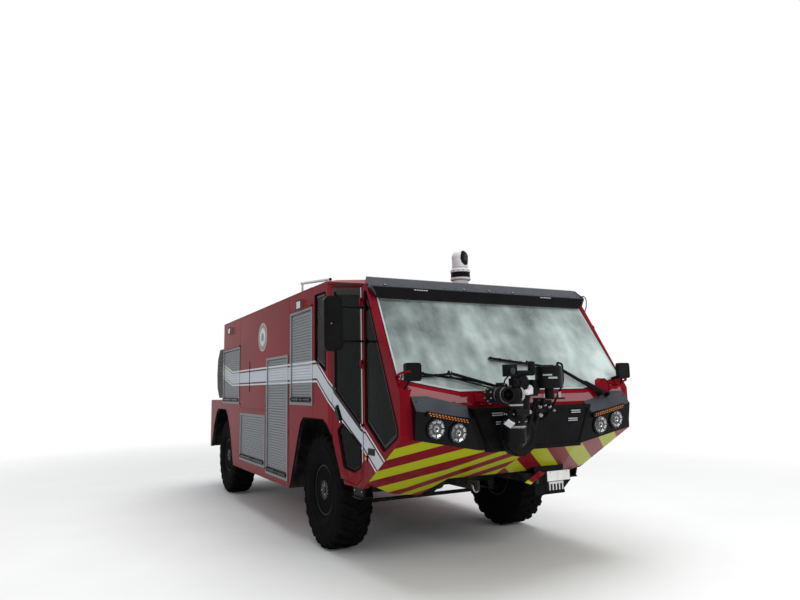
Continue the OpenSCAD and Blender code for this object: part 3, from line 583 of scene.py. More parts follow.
class Piece:
    """A mesh under construction. Each solid has its own material.

    What is added is measured from origin, and side -1 mirrors it.
    """

    def __init__(self, name, body, slot, side=1, origin=(0, 0, 0)):
        self.name, self.body, self.slot, self.side, self.origin = name, body, slot, side, origin
        self.points, self.faces, self.keys = [], [], []

    def solid(self, points, faces, key):
        start = len(self.points)
        x, y, z = self.origin
        self.points += [(p[0] + x, (p[1] + y) * self.side, p[2] + z) for p in points]
        self.faces += [tuple(start + i for i in face) for face in faces]
        self.keys += [key] * len(faces)

    def loft(self, rings, key, closed=False):
        """Joins rings of equal length. Open ends are capped."""
        n = len(rings[0])
        faces = []
        for i in range(len(rings) if closed else len(rings) - 1):
            a, b = i * n, (i + 1) % len(rings) * n
            faces += [(a + j, a + (j + 1) % n, b + (j + 1) % n, b + j) for j in range(n)]
        if not closed:
            faces += [tuple(range(n)), tuple(range(n * (len(rings) - 1), n * len(rings)))]
        self.solid([p for ring in rings for p in ring], faces, key)

    def slab(self, outline, axis, start, end, key):
        """A closed 2-D outline made solid from start to end along the axis that it lacks."""
        self.loft([[lift(p, axis, level) for p in outline] for level in (start, end)], key)

    def rim(self, outline, width, axis, start, end, key):
        """A frame along such an outline, width inwards."""
        pairs = zip(outline, inset(outline, width))
        rings = [[lift(a, axis, start), lift(a, axis, end), lift(b, axis, end), lift(b, axis, start)]
                 for a, b in pairs]
        self.loft(rings, key, closed=True)

    def box(self, low, high, key):
        self.slab(rect(*low[:2], *high[:2]), "z", low[2], high[2], key)

    def block(self, middle, size, key):
        """A box given by its middle and its size."""
        ends = [[m + s * half for m, s in zip(middle, size)] for half in (-0.5, 0.5)]
        self.box(*ends, key)

    def extrude(self, points, offset, key):
        """A flat outline in space made solid along offset."""
        offset = Vector(offset)
        self.loft([[Vector(p) for p in points], [Vector(p) + offset for p in points]], key)

    def skin(self, outline, low, high, key):
        """An [x, z] outline on the cab's side, made solid from low to high outside the surface."""
        self.loft([[(x, side_y(x) + off, z) for x, z in outline] for off in (low, high)], key)

    def border(self, outline, width, low, high, key):
        """A frame along an [x, z] outline on the cab's side, width inwards."""
        rings = []
        for (x0, z0), (x1, z1) in zip(outline, inset(outline, width)):
            a, b = side_y(x0), side_y(x1)
            rings.append([(x0, a + low, z0), (x0, a + high, z0), (x1, b + high, z1), (x1, b + low, z1)])
        self.loft(rings, key, closed=True)

    def tube(self, path, radius, key, sides=12, closed=False, bend=0.0):
        """A round bar along a path. bend rounds the path's corners."""
        path = [Vector(p) for p in (bent(path, bend) if bend else path)]
        rings = []
        u, v = across(path[1] - path[0])
        for i, p in enumerate(path):
            after = path[(i + 1) % len(path)] if closed else path[min(i + 1, len(path) - 1)]
            before = path[i - 1] if closed else path[max(i - 1, 0)]
            d = (after - before).normalized()
            u = (u - d * u.dot(d)).normalized()
            v = d.cross(u)
            r = radius[i] if hasattr(radius, "__len__") else radius
            rings.append([p + (u * c + v * s) * r for s, c in turns(sides)])
        self.loft(rings, key, closed)

    def lathe(self, profile, origin, direction, key, sides=32, ring=False):
        """A turned solid. Its profile is [along, radius] in millimetres, from one end to the other or,
        for a ring, round its closed section.
        """
        d = Vector(direction).normalized()
        u, v = across(d)
        rings = []
        for along, radius in profile:
            middle, r = Vector(origin) + d * (along * MM), max(radius * MM, 1e-4)
            rings.append([middle + (u * c + v * s) * r for s, c in turns(sides)])
        self.loft(rings, key, ring)

    def bolts(self, profile, origin, axis, radius, count, key="steel_nut", sides=6, start=0.0):
        """Small turned solids in a circle of this radius, in millimetres, round an axis."""
        direction, u, v = {"x": (X, Y, Z), "y": (Y, X, Z), "z": (Z, Y, X)}[axis]
        for s, c in turns(count, start):
            place = Vector(origin) + (u * s + v * c) * (radius * MM)
            self.lathe(profile, place, direction, key, sides)

    def build(self, bevel=0.0, smooth=38):
        mesh = bpy.data.meshes.new(self.name)
        mesh.from_pydata([at(*p) for p in self.points], [], self.faces)
        keys = sorted(set(self.keys))
        for key in keys:
            mesh.materials.append(MAT[key])
        mesh.polygons.foreach_set("material_index", [keys.index(k) for k in self.keys])
        work = bmesh.new()
        work.from_mesh(mesh)
        bmesh.ops.recalc_face_normals(work, faces=work.faces)
        work.to_mesh(mesh)
        work.free()
        mesh.shade_smooth()
        mesh.set_sharp_from_angle(angle=math.radians(smooth))
        made = bpy.data.objects.new(self.name, mesh)
        bpy.context.scene.collection.objects.link(made)
        if bevel:
            edge = made.modifiers.new("edges", "BEVEL")
            edge.width = bevel
            edge.segments = 2
            edge.limit_method = "ANGLE"
            edge.angle_limit = math.radians(35)
            edge.harden_normals = True
        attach(made, self.body)
        return made


def side_name(side):
    return "left" if side > 0 else "right"


def side_piece(name, slot, side, body="body"):
    return Piece(f"{name}_{side_name(side)}", body, slot, side)


# Tyres and wheels: where the middle of a tyre is, and then its sections in millimetres
WHEEL_Y = 1.24
AXLE_Z = 0.667
# Distance from the middle and radius
BEAD = (146, 280)
CROWN = (0, 642)
SIDEWALL = [
    (146, 287), (155, 300), (168, 306), (180, 330), (193, 380), (198.5, 385), (198.5, 397), (197, 401),
    (201, 460), (202, 520), (205.5, 524), (205.5, 534), (201, 538), (196, 580), (184, 615), (170, 630),
    (150, 637), (75, 641)]
LUGS = 26
# How far a lug turns backwards for each metre across the tread, up to its shoulder
LUG_LEAN = 0.62
SHOULDER = 150
# Across half the tread: distance from the middle, outer radius, inner radius, half width
LUG_STATIONS = (
    (12, 666.5, 636, 17), (55, 667, 636, 22), (105, 666.5, 634, 28), (150, 664, 630, 33),
    (176, 652, 615, 34), (192, 622, 590, 30), (199, 585, 560, 22))
# Radius and distance from the middle of a plain raised bar on the outer sidewall
BAR_SECTION = ((430, 196), (430, 203.5), (452, 204), (452, 197))
BARS = 6
BAR_STEP = 0.045


def on_tyre(turn, radius, out):
    """A point on a tyre at a turn from its top."""
    return (radius * MM * math.sin(turn), out * MM, radius * MM * math.cos(turn))


def add_tyre(name, x, side):
    tyre = Piece(f"{name}_tread", name.replace("tyre", "wheel"), "tyre", side, (x, WHEEL_Y, AXLE_Z))
    half = SIDEWALL[::-1] + [BEAD]
    tyre.lathe([(-a, r) for a, r in half[::-1]] + [CROWN] + half, (0, 0, 0), Y, "rubber", 96)
    for half_side in SIDES:
        for i in range(LUGS):
            base = 2 * math.pi * (i + max(half_side, 0) / 2) / LUGS
            rings = []
            for a, outer, inner, w in LUG_STATIONS:
                lean = base + LUG_LEAN * min(a, SHOULDER) * MM * side
                section = ((inner, -1.12), (outer - 6, -1), (outer, -0.82),
                           (outer, 0.82), (outer - 6, 1), (inner, 1.12))
                rings.append([on_tyre(lean + s * w / r, r, half_side * a) for r, s in section])
            tyre.loft(rings, "rubber")
    for i in range(BARS):
        angles = [2 * math.pi * i / BARS + k * BAR_STEP for k in range(-3, 4)]
        tyre.loft([[on_tyre(t, r, a) for r, a in BAR_SECTION] for t in angles], "rubber")
    made = tyre.build(smooth=30)
    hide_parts(name)


NUT_FACE = (0, 0.062, 0)
HUB_FACE = (0, 0.1495, 0)


def add_wheel(name, x, side):
    wheel = Piece(f"{name}_fasteners", name, "wheel_black", side, (x, WHEEL_Y, AXLE_Z))
    wheel.bolts([(0, 21), (4, 21), (6, 16.5), (26, 16.5), (29, 13)], NUT_FACE, "y", 167.5, 10)
    wheel.bolts(stud(9, 44, 46, 6, 26), NUT_FACE, "y", 167.5, 10, sides=12)
    wheel.bolts(stud(9, 10, 11, 7), HUB_FACE, "y", 112, 16, "rim", start=0.1)
    wheel.bolts(stud(13, 12, 13, 10), HUB_FACE, "y", 60, 3, start=0.4)
    wheel.lathe([(0, 40), (6, 40), (10, 34), (16, 16), (18, 0)], HUB_FACE, Y, "rim")
    # The rim's outer edge and its valve
    wheel.tube([(0.281 * s, 0.151, 0.281 * c) for s, c in turns(48)], 0.007, "rim", 8, closed=True)
    valve = [(0.25, 0.07, 0.02), (0.235, 0.12, 0.02), (0.215, 0.135, 0.02)]
    wheel.tube(valve, 0.005, "steel_nut", 8, bend=0.02)
    wheel.build()


for name in CORNERS:
    x = 0 if name.startswith("front") else -WHEELBASE
    side = 1 if name.endswith("left") else -1
    add_tyre(f"tyre_{name}", x, side)
    add_wheel(f"wheel_{name}", x, side)

# The cab's side: [x, z] outlines of its panes
DOOR_WINDOW = [(0.66, 2.945), (1.235, 2.862), (1.235, 1.45), (0.66, 1.835)]
LOW_WINDOW = [(0.735, 1.4), (0.845, 1.475), (1.22, 1.265), (1.22, 1.055), (1.085, 0.995), (0.865, 1.025)]
QUARTER = [(1.33, 2.85), (1.372, 2.85), (2.02, 1.48), (2.02, 1.4), (1.735, 1.25), (1.33, 1.51)]
REAR_WINDOW = [(0.09, 2.97), (0.43, 2.97), (0.43, 2.06), (0.09, 2.2)]


def pane_edges(piece, window, seal, mask):
    """A pane's seal as (growth, corner, width, height, material), and its black edge as (corner, width)."""
    growth, radius, width, height, key = seal
    piece.border(rounded(inset(window, -growth), radius), width, -0.001, height, key)
    radius, width = mask
    piece.border(rounded(inset(window, 0.002), radius), width, -0.0135, -0.0115, "gloss_black")


def add_cab_side(side):
    door = side_piece("door_trim", "black_moulding", side, f"door_{side_name(side)}")
    pane_edges(door, DOOR_WINDOW, (0.034, 0.05, 0.04, 0.003, "gloss_black"), (0.04, 0.03))
    pane_edges(door, LOW_WINDOW, (0.012, 0.03, 0.02, 0.004, "rubber"), (0.03, 0.022))
    # The handle in its recess, with a lock
    recess = [(0.69, 1.66), (0.745, 1.68), (0.83, 1.54), (0.82, 1.49), (0.765, 1.485), (0.69, 1.585)]
    door.skin(rounded(recess, 0.02), -0.001, 0.01, "black")
    pull = [(0.706, 1.64), (0.738, 1.655), (0.812, 1.535), (0.8, 1.51), (0.775, 1.51), (0.708, 1.59)]
    door.skin(rounded(pull, 0.015), 0.01, 0.024, "gloss_black")
    door.lathe(stud(12, 6, 8, 9), (0.803, side_y(0.8) + 0.01, 1.498), Y, "chrome", 20)
    # Strip along the front edge
    strip = [(1.256, 2.905), (1.2715, 2.903), (1.2715, 1.115), (1.256, 1.095)]
    door.skin(strip, -0.0005, 0.006, "aluminium")
    door.build(0.0015)

    cab = side_piece("cab_side", "black_moulding", side)
    for window, width in ((QUARTER, 0.045), (REAR_WINDOW, 0.035)):
        pane_edges(cab, window, (0.01, 0.03, 0.016, 0.004, "rubber"), (0.03, width))
    # Inner pillar behind the quarter window, seen through the glass
    inside = side_y(1.3) - 0.052
    cab.slab(rect(1.3, 2.86, 1.345, 1.3), "y", inside, inside - 0.05, "trim")
    lining = [(1.345, 2.84), (1.362, 2.84), (1.47, 2.1), (1.48, 1.46), (1.345, 1.5)]
    cab.slab(lining, "y", inside, inside - 0.012, "post_green")
    # Side marker, and a black plate with small slots at the front end of the band
    marker = (1.352, side_y(1.35), 1.15)
    cab.lathe(stud(30, 10, 14, 24), marker, Y, "rubber", 28)
    cab.lathe([(10, 23), (18, 21), (24, 12), (25, 0)], marker, Y, "amber", 28)
    cab.skin(rounded(rect(1.385, 1.255, 1.535, 1.19), 0.012), -0.001, 0.006, "black")
    for x in (1.396, 1.43, 1.464, 1.498):
        for z in (1.246, 1.214):
            cab.skin(rect(x, z, x + 0.026, z - 0.018), 0.006, 0.01, "gloss_black")
    # Rain gutter over the door
    cab.skin([(0.56, 3.046), (1.3, 2.934), (1.3, 2.922), (0.56, 3.032)], -0.001, 0.012, "black")
    cab.build(0.0015)


for side in SIDES:
    add_cab_side(side)

# The front: windscreen border, wipers, visor, lamps, slots, hood
SCREEN_EDGE = [
    (-1.439, 1.92), (-1.35, 1.905), (-1.11, 1.852), (-0.8, 1.792), (0.8, 1.792),
    (1.11, 1.852), (1.35, 1.905), (1.439, 1.92), (1.389, 2.789), (-1.389, 2.789)]
SEAL_OUT = -0.0045


def add_windscreen():
    seal = Piece("windscreen_seal", "body", "black_moulding")
    for outer, inner, thick, key in ((0.001, 0.01, 0.004, "rubber"), (0.01, 0.03, 0.002, "pale_line")):
        rings = []
        for edge_out, edge_in in zip(inset(SCREEN_EDGE, outer), inset(SCREEN_EDGE, inner)):
            a, b = screen(*edge_out, SEAL_OUT), screen(*edge_in, SEAL_OUT)
            rings.append([a, a + SCREEN_OUT * thick, b + SCREEN_OUT * thick, b])
        seal.loft(rings, key, closed=True)
    seal.build(0.001)


# Each wiper as [y, z] on the windscreen: pivot, elbow, mount on the blade, the blade's tip and root,
# and the way from the pivot to the second arm's
WIPERS = (
    ((-0.03, 1.745), (-0.833, 1.974), (-0.87, 1.971), (-1.18, 1.974), (-0.5, 1.88), 0.06),
    ((0.985, 1.745), (0.56, 2.02), (0.15, 2.074), (-0.302, 2.128), (0.23, 2.06), -0.06))
# Across the blade: a share of its half width, and the distance from the glass
BLADE_SECTION = ((-1, 0.022), (1, 0.022), (0.8, 0.012), (0.25, -0.002), (-0.25, -0.002), (-0.8, 0.012))
BLADE_HALF_W = 0.006


def add_wipers():
    wipers = Piece("wiper_blades", "body", "black_moulding")
    for pivot, elbow, mount, tip, root, second in WIPERS:
        # Pivot boss, its cap and the second arm beside the first
        boss = [(30, 34), (52, 34), (60, 28), (62, 0)]
        wipers.lathe(boss, screen(*pivot), SCREEN_OUT, "black", 24)
        q = (pivot[0] - second * 1.5, pivot[1] - 0.02)
        e = (elbow[0] - second * 0.8, elbow[1] - 0.055)
        wipers.lathe(stud(22, 46, 52, 16, -10), screen(*q), SCREEN_OUT, "black", 20)
        wipers.tube([screen(*q, 0.04), screen(*e, 0.036)], 0.0065, "black", 8)
        wipers.tube([screen(*elbow, 0.038), screen(*e, 0.036)], 0.007, "black", 8)
        # The sleeve where the arm folds, near its foot
        p, e = Vector(pivot), Vector(elbow)
        sleeve = [screen(*p.lerp(e, t), out)
                  for t, out in ((0.04, 0.04), (0.1, 0.042), (0.34, 0.041), (0.4, 0.04))]
        wipers.tube(sleeve, [0.018, 0.024, 0.019, 0.014], "black", 10)
        post = [(6, 9), (36, 9), (40, 14), (46, 14), (48, 8)]
        wipers.lathe(post, screen(*mount), SCREEN_OUT, "black", 14)
        # Blade with its claws
        claw = rect(-0.009, 0.012, 0.009, 0.03)
        start, end = Vector(root), Vector(tip)
        d = (end - start).normalized()
        n = Vector((-d.y, d.x))
        wipers.loft([[screen(*(c + n * k * BLADE_HALF_W), out) for k, out in BLADE_SECTION]
                     for c in (start, end)], "rubber")
        for t in (0.06, 0.28, 0.52, 0.76, 0.96):
            c = start.lerp(end, t)
            wipers.loft([[screen(*(c + d * s * 0.012 + n * k), out) for k, out in claw]
                         for s in SIDES], "black")
    wipers.build(0.0008)


VISOR_EDGE = (1.492, 2.89)


def add_visor():
    visor = Piece("visor_trim", "body", "black_moulding")
    edge_x, edge_z = VISOR_EDGE
    visor.tube([(edge_x, y, edge_z) for y in (-1.444, 1.444)], 0.007, "grey_moulding", 8)
    # Light bars on the black lower band, whose face leans a little
    for y0, y1, z in ((-0.953, -0.781, 2.87), (0.753, 0.921, 2.872)):
        x = edge_x + (edge_z - z) * 0.056
        visor.box((x, y0, z - 0.008), (x + 0.006, y1, z + 0.008), "black")
        for k in range(6):
            y = y0 + (y1 - y0) * (k + 0.5) / 6
            visor.box((x + 0.006, y - 0.011, z - 0.005), (x + 0.009, y + 0.011, z + 0.005), "lamp_white")
    # Small lamps on the upper face, and rivets along its edge
    for y in (-1.287, -0.307, 0.03, 0.365):
        place, out = (edge_x - 0.014 * 0.991, y, edge_z + 0.014), (1, 0, 1.1)
        visor.lathe(stud(14, 6, 10, 10, -4), place, out, "gloss_black", 16)
        visor.lathe([(6, 9), (12, 7), (13, 0)], place, out, "lamp_white", 16)
    for k in range(21):
        visor.lathe([(-2, 7), (2, 6), (3, 0)], (1.47, -1.36 + 0.136 * k, 2.9122), (1, 0, 1.01), "black", 10)
    # Rounded ends of the upper face
    for side in SIDES:
        end = [(1.388, 1.398, 2.992), (1.47, 1.436, 2.914), (1.492, 1.449, 2.89), (1.497, 1.402, 2.8)]
        visor.tube([(x, y * side, z) for x, y, z in end], 0.009, "grey_moulding", 8, bend=0.03)
    # Pads of the sun blinds, seen through the glass
    for y0, y1, z in ((-1.03, -0.85, 2.7), (0.611, 0.822, 2.745)):
        x = screen(0, z).x - 0.09
        visor.box((x - 0.012, y0, z - 0.03), (x, y1, z + 0.03), "pale_line")
    # The curved antenna arm at the left end
    arm = [(1.48, 1.4, 2.905), (1.5, 1.44, 2.925), (1.505, 1.476, 2.89), (1.49, 1.492, 2.8),
           (1.455, 1.478, 2.7)]
    visor.tube(arm, 0.006, "black", 8, bend=0.06)
    visor.build(0.001)


# The light panel's corners beside the centre box and at the cab's side: above, at the crease, below
PANEL_INNER = [Vector(p) for p in ((2.123, 0.752, 1.664), (2.205, 0.775, 1.552), (2.16, 0.64, 1.24))]
PANEL_OUTER = [Vector(p) for p in ((2.098, 1.35, 1.785), (2.198, 1.35, 1.634), (2.16, 1.35, 1.372))]
# Its fasteners: on the upper facet or not, share from inside to outside, share from the crease
PANEL_SCREWS = ((True, 0.06, 0.55), (True, 0.94, 0.6), (False, 0.97, 0.25), (False, 0.97, 0.85),
                (False, 0.5, 0.93), (False, 0.08, 0.92))
LAMP_TILT = math.radians(96)
LAMP_OUT = Vector((math.sin(LAMP_TILT), 0, math.cos(LAMP_TILT)))
LAMP_PLACES = ((2.182, 1.137, 1.467), (2.184, 0.899, 1.419))
# A headlamp's turned parts: profile, material, sides
LAMP_PARTS = (
    ([(0, 106), (10, 105), (16, 100), (16, 91), (4, 88.5), (0, 88.5)], "gloss_black", 48),
    ([(4.2, 87.5), (6.2, 86), (5.5, 45), (4.8, 0)], "gloss_black", 32),
    ([(5, 34), (12, 32), (14, 27), (9, 18), (8, 0)], "reflector", 6),
    ([(7, 14), (15, 12), (17, 0)], "gloss_black", 16),
    ([(13.5, 89.5), (15, 90), (21, 70), (25, 40), (26, 0)], "lens", 48))
# A facet of its reflector ring: radius, half its angle, distance out
FACET_SECTION = ((0.056, 0.27, 0.006), (0.08, 0.31, 0.01), (0.08, 0.31, 0.013), (0.056, 0.27, 0.009))
STRIP_ENDS = (Vector((2.203, 0.8, 1.521)), Vector((2.199, 1.23, 1.605)))
STRIP_SECTION = ((-24, -12), (24, -12), (24, 17.5), (19.2, 19.5), (-19.2, 19.5), (-24, 17.5))
STRIP_PARTS = 13


def add_headlights(side):
    front = side_piece("headlights", "black_moulding", side)
    u, v = across(LAMP_OUT)
    for place in LAMP_PLACES:
        for profile, key, sides in LAMP_PARTS:
            front.lathe(profile, place, LAMP_OUT, key, sides)
        for k in range(8):
            t = 2 * math.pi * (k + 0.5) / 8
            rings = []
            for s in SIDES:
                angled = [(t + s * spread, r, out) for r, spread, out in FACET_SECTION]
                rings.append([Vector(place) + (u * math.cos(a) + v * math.sin(a)) * r + LAMP_OUT * out
                              for a, r, out in angled])
            front.loft(rings, "reflector")
    # Closing plates beside the centre box
    top, crease, foot = (2.121, 0.756, 1.655), (2.203, 0.779, 1.552), (2.158, 0.644, 1.243)
    box_top, box_mid, box_foot = (2.15, 0.735, 1.64), (2.19, 0.698, 1.552), (2.19, 0.57, 1.243)
    front.extrude([top, crease, box_mid, box_top], X * -0.02, "black")
    front.extrude([crease, foot, box_foot, box_mid], X * -0.02, "black")
    # The amber strip: a channel with slanted segments
    a, b = STRIP_ENDS
    d = (b - a).normalized()
    up = Vector((0, -d.z, d.y))
    front.loft([[p + up * s * MM + X * out * MM for s, out in STRIP_SECTION]
                for p in (a - d * 0.02, b + d * 0.02)], "gloss_black")
    w = (b - a).length / STRIP_PARTS
    for k in range(STRIP_PARTS):
        for s, reach in ((1, 0.36), (-1, 0.3)):
            q = a.lerp(b, (k + 0.5) / STRIP_PARTS) + X * 0.0192 + up * s * 0.0085 + d * w * 0.18 * s
            foot, top = d * w * reach, d * w * reach * 0.45
            rise = up * 0.0055
            front.extrude([q - foot - rise, q + foot - rise, q + top + rise, q - top + rise],
                          X * 0.0035, "amber")
    for upper, inwards, share in PANEL_SCREWS:
        above, crease, below = (i.lerp(o, inwards) for i, o in zip(PANEL_INNER, PANEL_OUTER))
        out = (0.75, 0, 0.66) if upper else (1, 0, -0.12)
        place = crease.lerp(above if upper else below, share)
        front.lathe([(-4, 7), (2, 6), (3, 0)], place, out, "black", 12)
    front.build(0.0008)


BOX_FACE = 2.2245


def add_centre_box():
    box = Piece("bumper_box_trim", "body", "black_moulding")
    outer = [(-0.738, 1.631), (0.738, 1.631), (0.563, 1.231), (-0.563, 1.231)]
    box.rim(outer, 0.028, "x", BOX_FACE, BOX_FACE + 0.01, "black")
    for y, z in ((-0.472, 1.578), (-0.429, 1.494), (0.527, 1.572), (0.482, 1.492)):
        box.block((BOX_FACE + 0.002, y, z), (0.004, 0.15, 0.052), "gloss_black")
        for dz in (-0.01, 0.01):
            box.block((2.2305, y, z + dz), (0.005, 0.125, 0.008), "lamp_white")
    for y, z in ((0.68, 1.595), (0.54, 1.262), (0.25, 1.595), (0.25, 1.262), (0.6, 1.43),
                 (-0.68, 1.595), (-0.54, 1.262), (-0.6, 1.43)):
        box.lathe(stud(8, -5, -4, 5, -12), (BOX_FACE + 0.01, y, z), X, "black", 6)
    # Seams of the removable middle cover
    for y in (0.1, 0.44):
        box.box((BOX_FACE, y - 0.003, 1.262), (BOX_FACE + 0.002, y + 0.003, 1.602), "gloss_black")
    box.build(0.0015)


# The arms at the windscreen's lower corners that carry the small mirrors: path, radius.
# The left mirror is held at its lower edge.
MIRROR_ARMS = {
    -1: (([(1.975, 1.425, 1.955), (2.08, 1.455, 1.975), (2.14, 1.45, 1.985), (2.168, 1.42, 1.99),
           (2.168, 1.385, 1.995)], 0.011),
         ([(2.02, 1.425, 1.875), (2.1, 1.452, 1.91), (2.13, 1.452, 1.965)], 0.009)),
    1: (([(1.975, 1.425, 1.955), (2.06, 1.44, 1.93), (2.12, 1.4, 1.9), (2.135, 1.345, 1.908)], 0.011),
        ([(2.02, 1.425, 1.875), (2.09, 1.44, 1.88), (2.122, 1.4, 1.902)], 0.009),
        ([(2.086, 1.134, 1.745), (2.1, 1.166, 1.791), (2.105, 1.334, 1.832), (2.125, 1.4, 1.905)], 0.01),
        ([(2.03, 1.2, 1.862), (2.105, 1.334, 1.832)], 0.009),
        ([(2.015, 1.3, 1.88), (2.103, 1.32, 1.836)], 0.009))}


def nose_x(z):
    """The leaning front face of the nose, and of the windscreen above it."""
    return 2.086 + (SCREEN_LOW[1] - z) * 0.238 if z < SCREEN_LOW[1] else screen(0, z).x


def add_hood():
    hood = Piece("hood_trim", "body", "body_red")
    low, high = nose_x(1.69), nose_x(1.775)
    hood.extrude([(low, -0.655, 1.69), (high, -0.655, 1.775), (high + 0.03, -0.65, 1.768),
                  (low + 0.03, -0.65, 1.696)], Y * 0.105, "red")
    # Covers of the wipers' spindles: a black cap in the middle, a red wedge at the left
    cap = ((1.69, -0.002, 0.7), (1.772, -0.002, 1.0), (1.764, 0.022, 0.8), (1.698, 0.022, 0.56))
    hood.loft([[(nose_x(z) + out, -0.03 + s * 0.055 * k, z) for z, out, k in cap] for s in SIDES], "black")
    wedge = [(0.985, 1.815), (1.035, 1.885), (1.085, 1.905), (1.145, 1.87), (1.15, 1.795), (1.09, 1.722)]
    hood.loft([[(nose_x(z) - 0.004, y, z) for y, z in inset(wedge, -0.008)],
               [(max(2.1, nose_x(z) + 0.012), y, z) for y, z in wedge]], "red")
    hood.tube([(2.1, 1.15, 1.8), (2.1, 1.142, 1.872), (2.1, 1.085, 1.906), (2.1, 1.032, 1.884)],
              0.006, "black", 10, bend=0.01)
    hood.tube([(2.005, 1.3, 1.9), (2.115, 1.3, 1.93)], 0.016, "black", 14)
    hood.lathe(stud(14, 12, 15, 10, -2), (2.16, -1.383, 1.995), X, "black", 18)
    for side, arms in MIRROR_ARMS.items():
        for path, radius in arms:
            hood.tube([(x, y * side, z) for x, y, z in path], radius, "red", 12, bend=0.025)
        foot = (1.985, 1.424 * side, 1.955)
        hood.lathe([(-6, 24), (6, 23), (8, 16)], foot, (0.85, 0, 0.53), "red", 18)
    hood.build(0.0015)


def add_small_mirror(side):
    mirror = side_piece("nose_mirror", "black_moulding", side)
    outline = rounded(rect(1.262, 1.905, 1.427, 2.075), 0.03)
    mirror.rim(outline, 0.01, "x", 2.154, 2.16, "gloss_black")
    mirror.slab(inset(outline, 0.012), "x", 2.11, 2.108, "mirror")
    if side > 0:
        mirror.slab(inset(outline, 0.022), "x", 2.154, 2.156, "gloss_black")
    mirror.build(0.001)


def add_big_mirrors():
    right = Piece("mirror_right_trim", "body", "black_moulding", -1)
    y0, y1, z0, z1 = 1.73, 1.93, 2.225, 2.775
    outline = rounded(rect(y0, z0, y1, z1), 0.11, 6)
    # Front shell in crowned steps, then the glass on the rear side in two parts
    for depth, x in ((0.004, 1.4155), (0.016, 1.4215), (0.034, 1.4255)):
        right.slab(inset(outline, depth), "x", 1.4095, x, "black")
    right.slab(inset(outline, 0.004), "x", 1.3105, 1.3065, "gloss_black")
    for low, high in ((z0 + 0.022, z0 + 0.15), (z0 + 0.166, z1 - 0.022)):
        right.slab(rounded(rect(y0 + 0.018, low, y1 - 0.018, high), 0.04), "x", 1.3065, 1.3035, "mirror")
    right.lathe([(0, 9), (4, 8), (6, 4), (6.5, 0)], (1.4245, 1.86, 2.495), X, "amber_lens", 20)
    for z in (2.33, 2.68):
        right.lathe(stud(20, 35, 40, 14), (1.33, 1.69, z), Y, "black", 20)
        right.lathe(stud(30, 10, 14, 20), (1.33, 1.4525, z), Y, "black", 20)
    right.build(0.0015)

    left = Piece("mirror_left_trim", "body", "black_moulding")
    left.slab(rounded(rect(1.316, 2.036, 1.504, 2.574), 0.11, 6), "y", 1.5865, 1.587, "black")
    left.slab(rounded(rect(1.33, 2.05, 1.49, 2.56), 0.08, 6), "y", 1.4975, 1.4945, "mirror")
    left.build()


# The front face of the siren box, and the towing eyes
SIREN_X = 1.6195
EYE = (1.68, 0.385, 0.84)


def add_under_nose():
    low = Piece("nose_fittings", "body", "frame_black")
    # A blank plate on its backing, which stands out past the siren box, and the comb below it
    backing = [(0.6, 0.7), (0.862, 0.7), (0.952, 0.775), (0.952, 0.9), (0.6, 0.9)]
    low.slab(backing, "x", SIREN_X, SIREN_X + 0.006, "gloss_black")
    low.box((SIREN_X + 0.006, 0.618, 0.784), (SIREN_X + 0.009, 0.944, 0.892), "plate")
    for y in (0.66, 0.9):
        low.lathe([(3, 7), (6, 6), (7, 0)], (SIREN_X + 0.006, y, 0.876), X, "steel_nut", 10)
    low.box((SIREN_X, 0.636, 0.752), (1.63, 0.846, 0.778), "white")
    for k in range(5):
        y = 0.64 + 0.046 * k
        low.box((SIREN_X, y, 0.684), (1.6295, y + 0.018, 0.755), "white")
    low.box((SIREN_X, 0.628, 0.65), (1.635, 0.856, 0.68), "black")
    low.rim(rect(0.444, 0.65, 0.6, 0.9), 0.01, "x", SIREN_X, SIREN_X + 0.005, "black")
    low.lathe([(0, 58), (10, 58), (14, 50), (6, 44), (4, 0)], (SIREN_X, 0.522, 0.8), X, "black", 32)
    # A red flap with a green tip on the left towing beam, below the chevron panel
    low.slab([(0.406, 0.929), (0.489, 0.9), (0.31, 0.812), (0.244, 0.846)], "x", 1.744, 1.754, "red")
    tip = [(0.3105, 0.8125), (0.278, 0.796), (0.204, 0.822), (0.2445, 0.8455)]
    low.slab(tip, "x", 1.744, 1.755, "tape_green")
    # Shackles in the towing eyes
    x, reach, z = EYE
    half = [(x, -0.028, z), (1.688, -0.028, 0.815), (1.694, -0.023, 0.785)]
    bow = half + [(1.697, 0, 0.77)] + [(a, -b, c) for a, b, c in half[::-1]]
    pin = [(-46, 15), (-36, 15), (-36, 11), (36, 11), (36, 15), (46, 15)]
    for y, key in ((-reach, "steel_nut"), (reach, "black")):
        low.tube([(a, y + b, c) for a, b, c in bow], 0.01, key, 12, bend=0.02)
        low.lathe(pin, (x, y, z), Y, key, 12)
    low.build(0.001)


add_windscreen()
add_wipers()
add_visor()
for side in SIDES:
    add_headlights(side)
    add_small_mirror(side)
add_centre_box()
add_hood()
add_big_mirrors()
add_under_nose()

# The turret: the axis of its riser, and the height of its cross pipe
RISER_X, RISER_Y, TURRET_Z = 2.44, -0.42, 1.765
DRUM = Vector((2.3, -0.25, 1.385))
DRIVE_CAN = Vector((2.44, 0.006, 1.815))
LABEL_ARC = 0.045 / 0.066


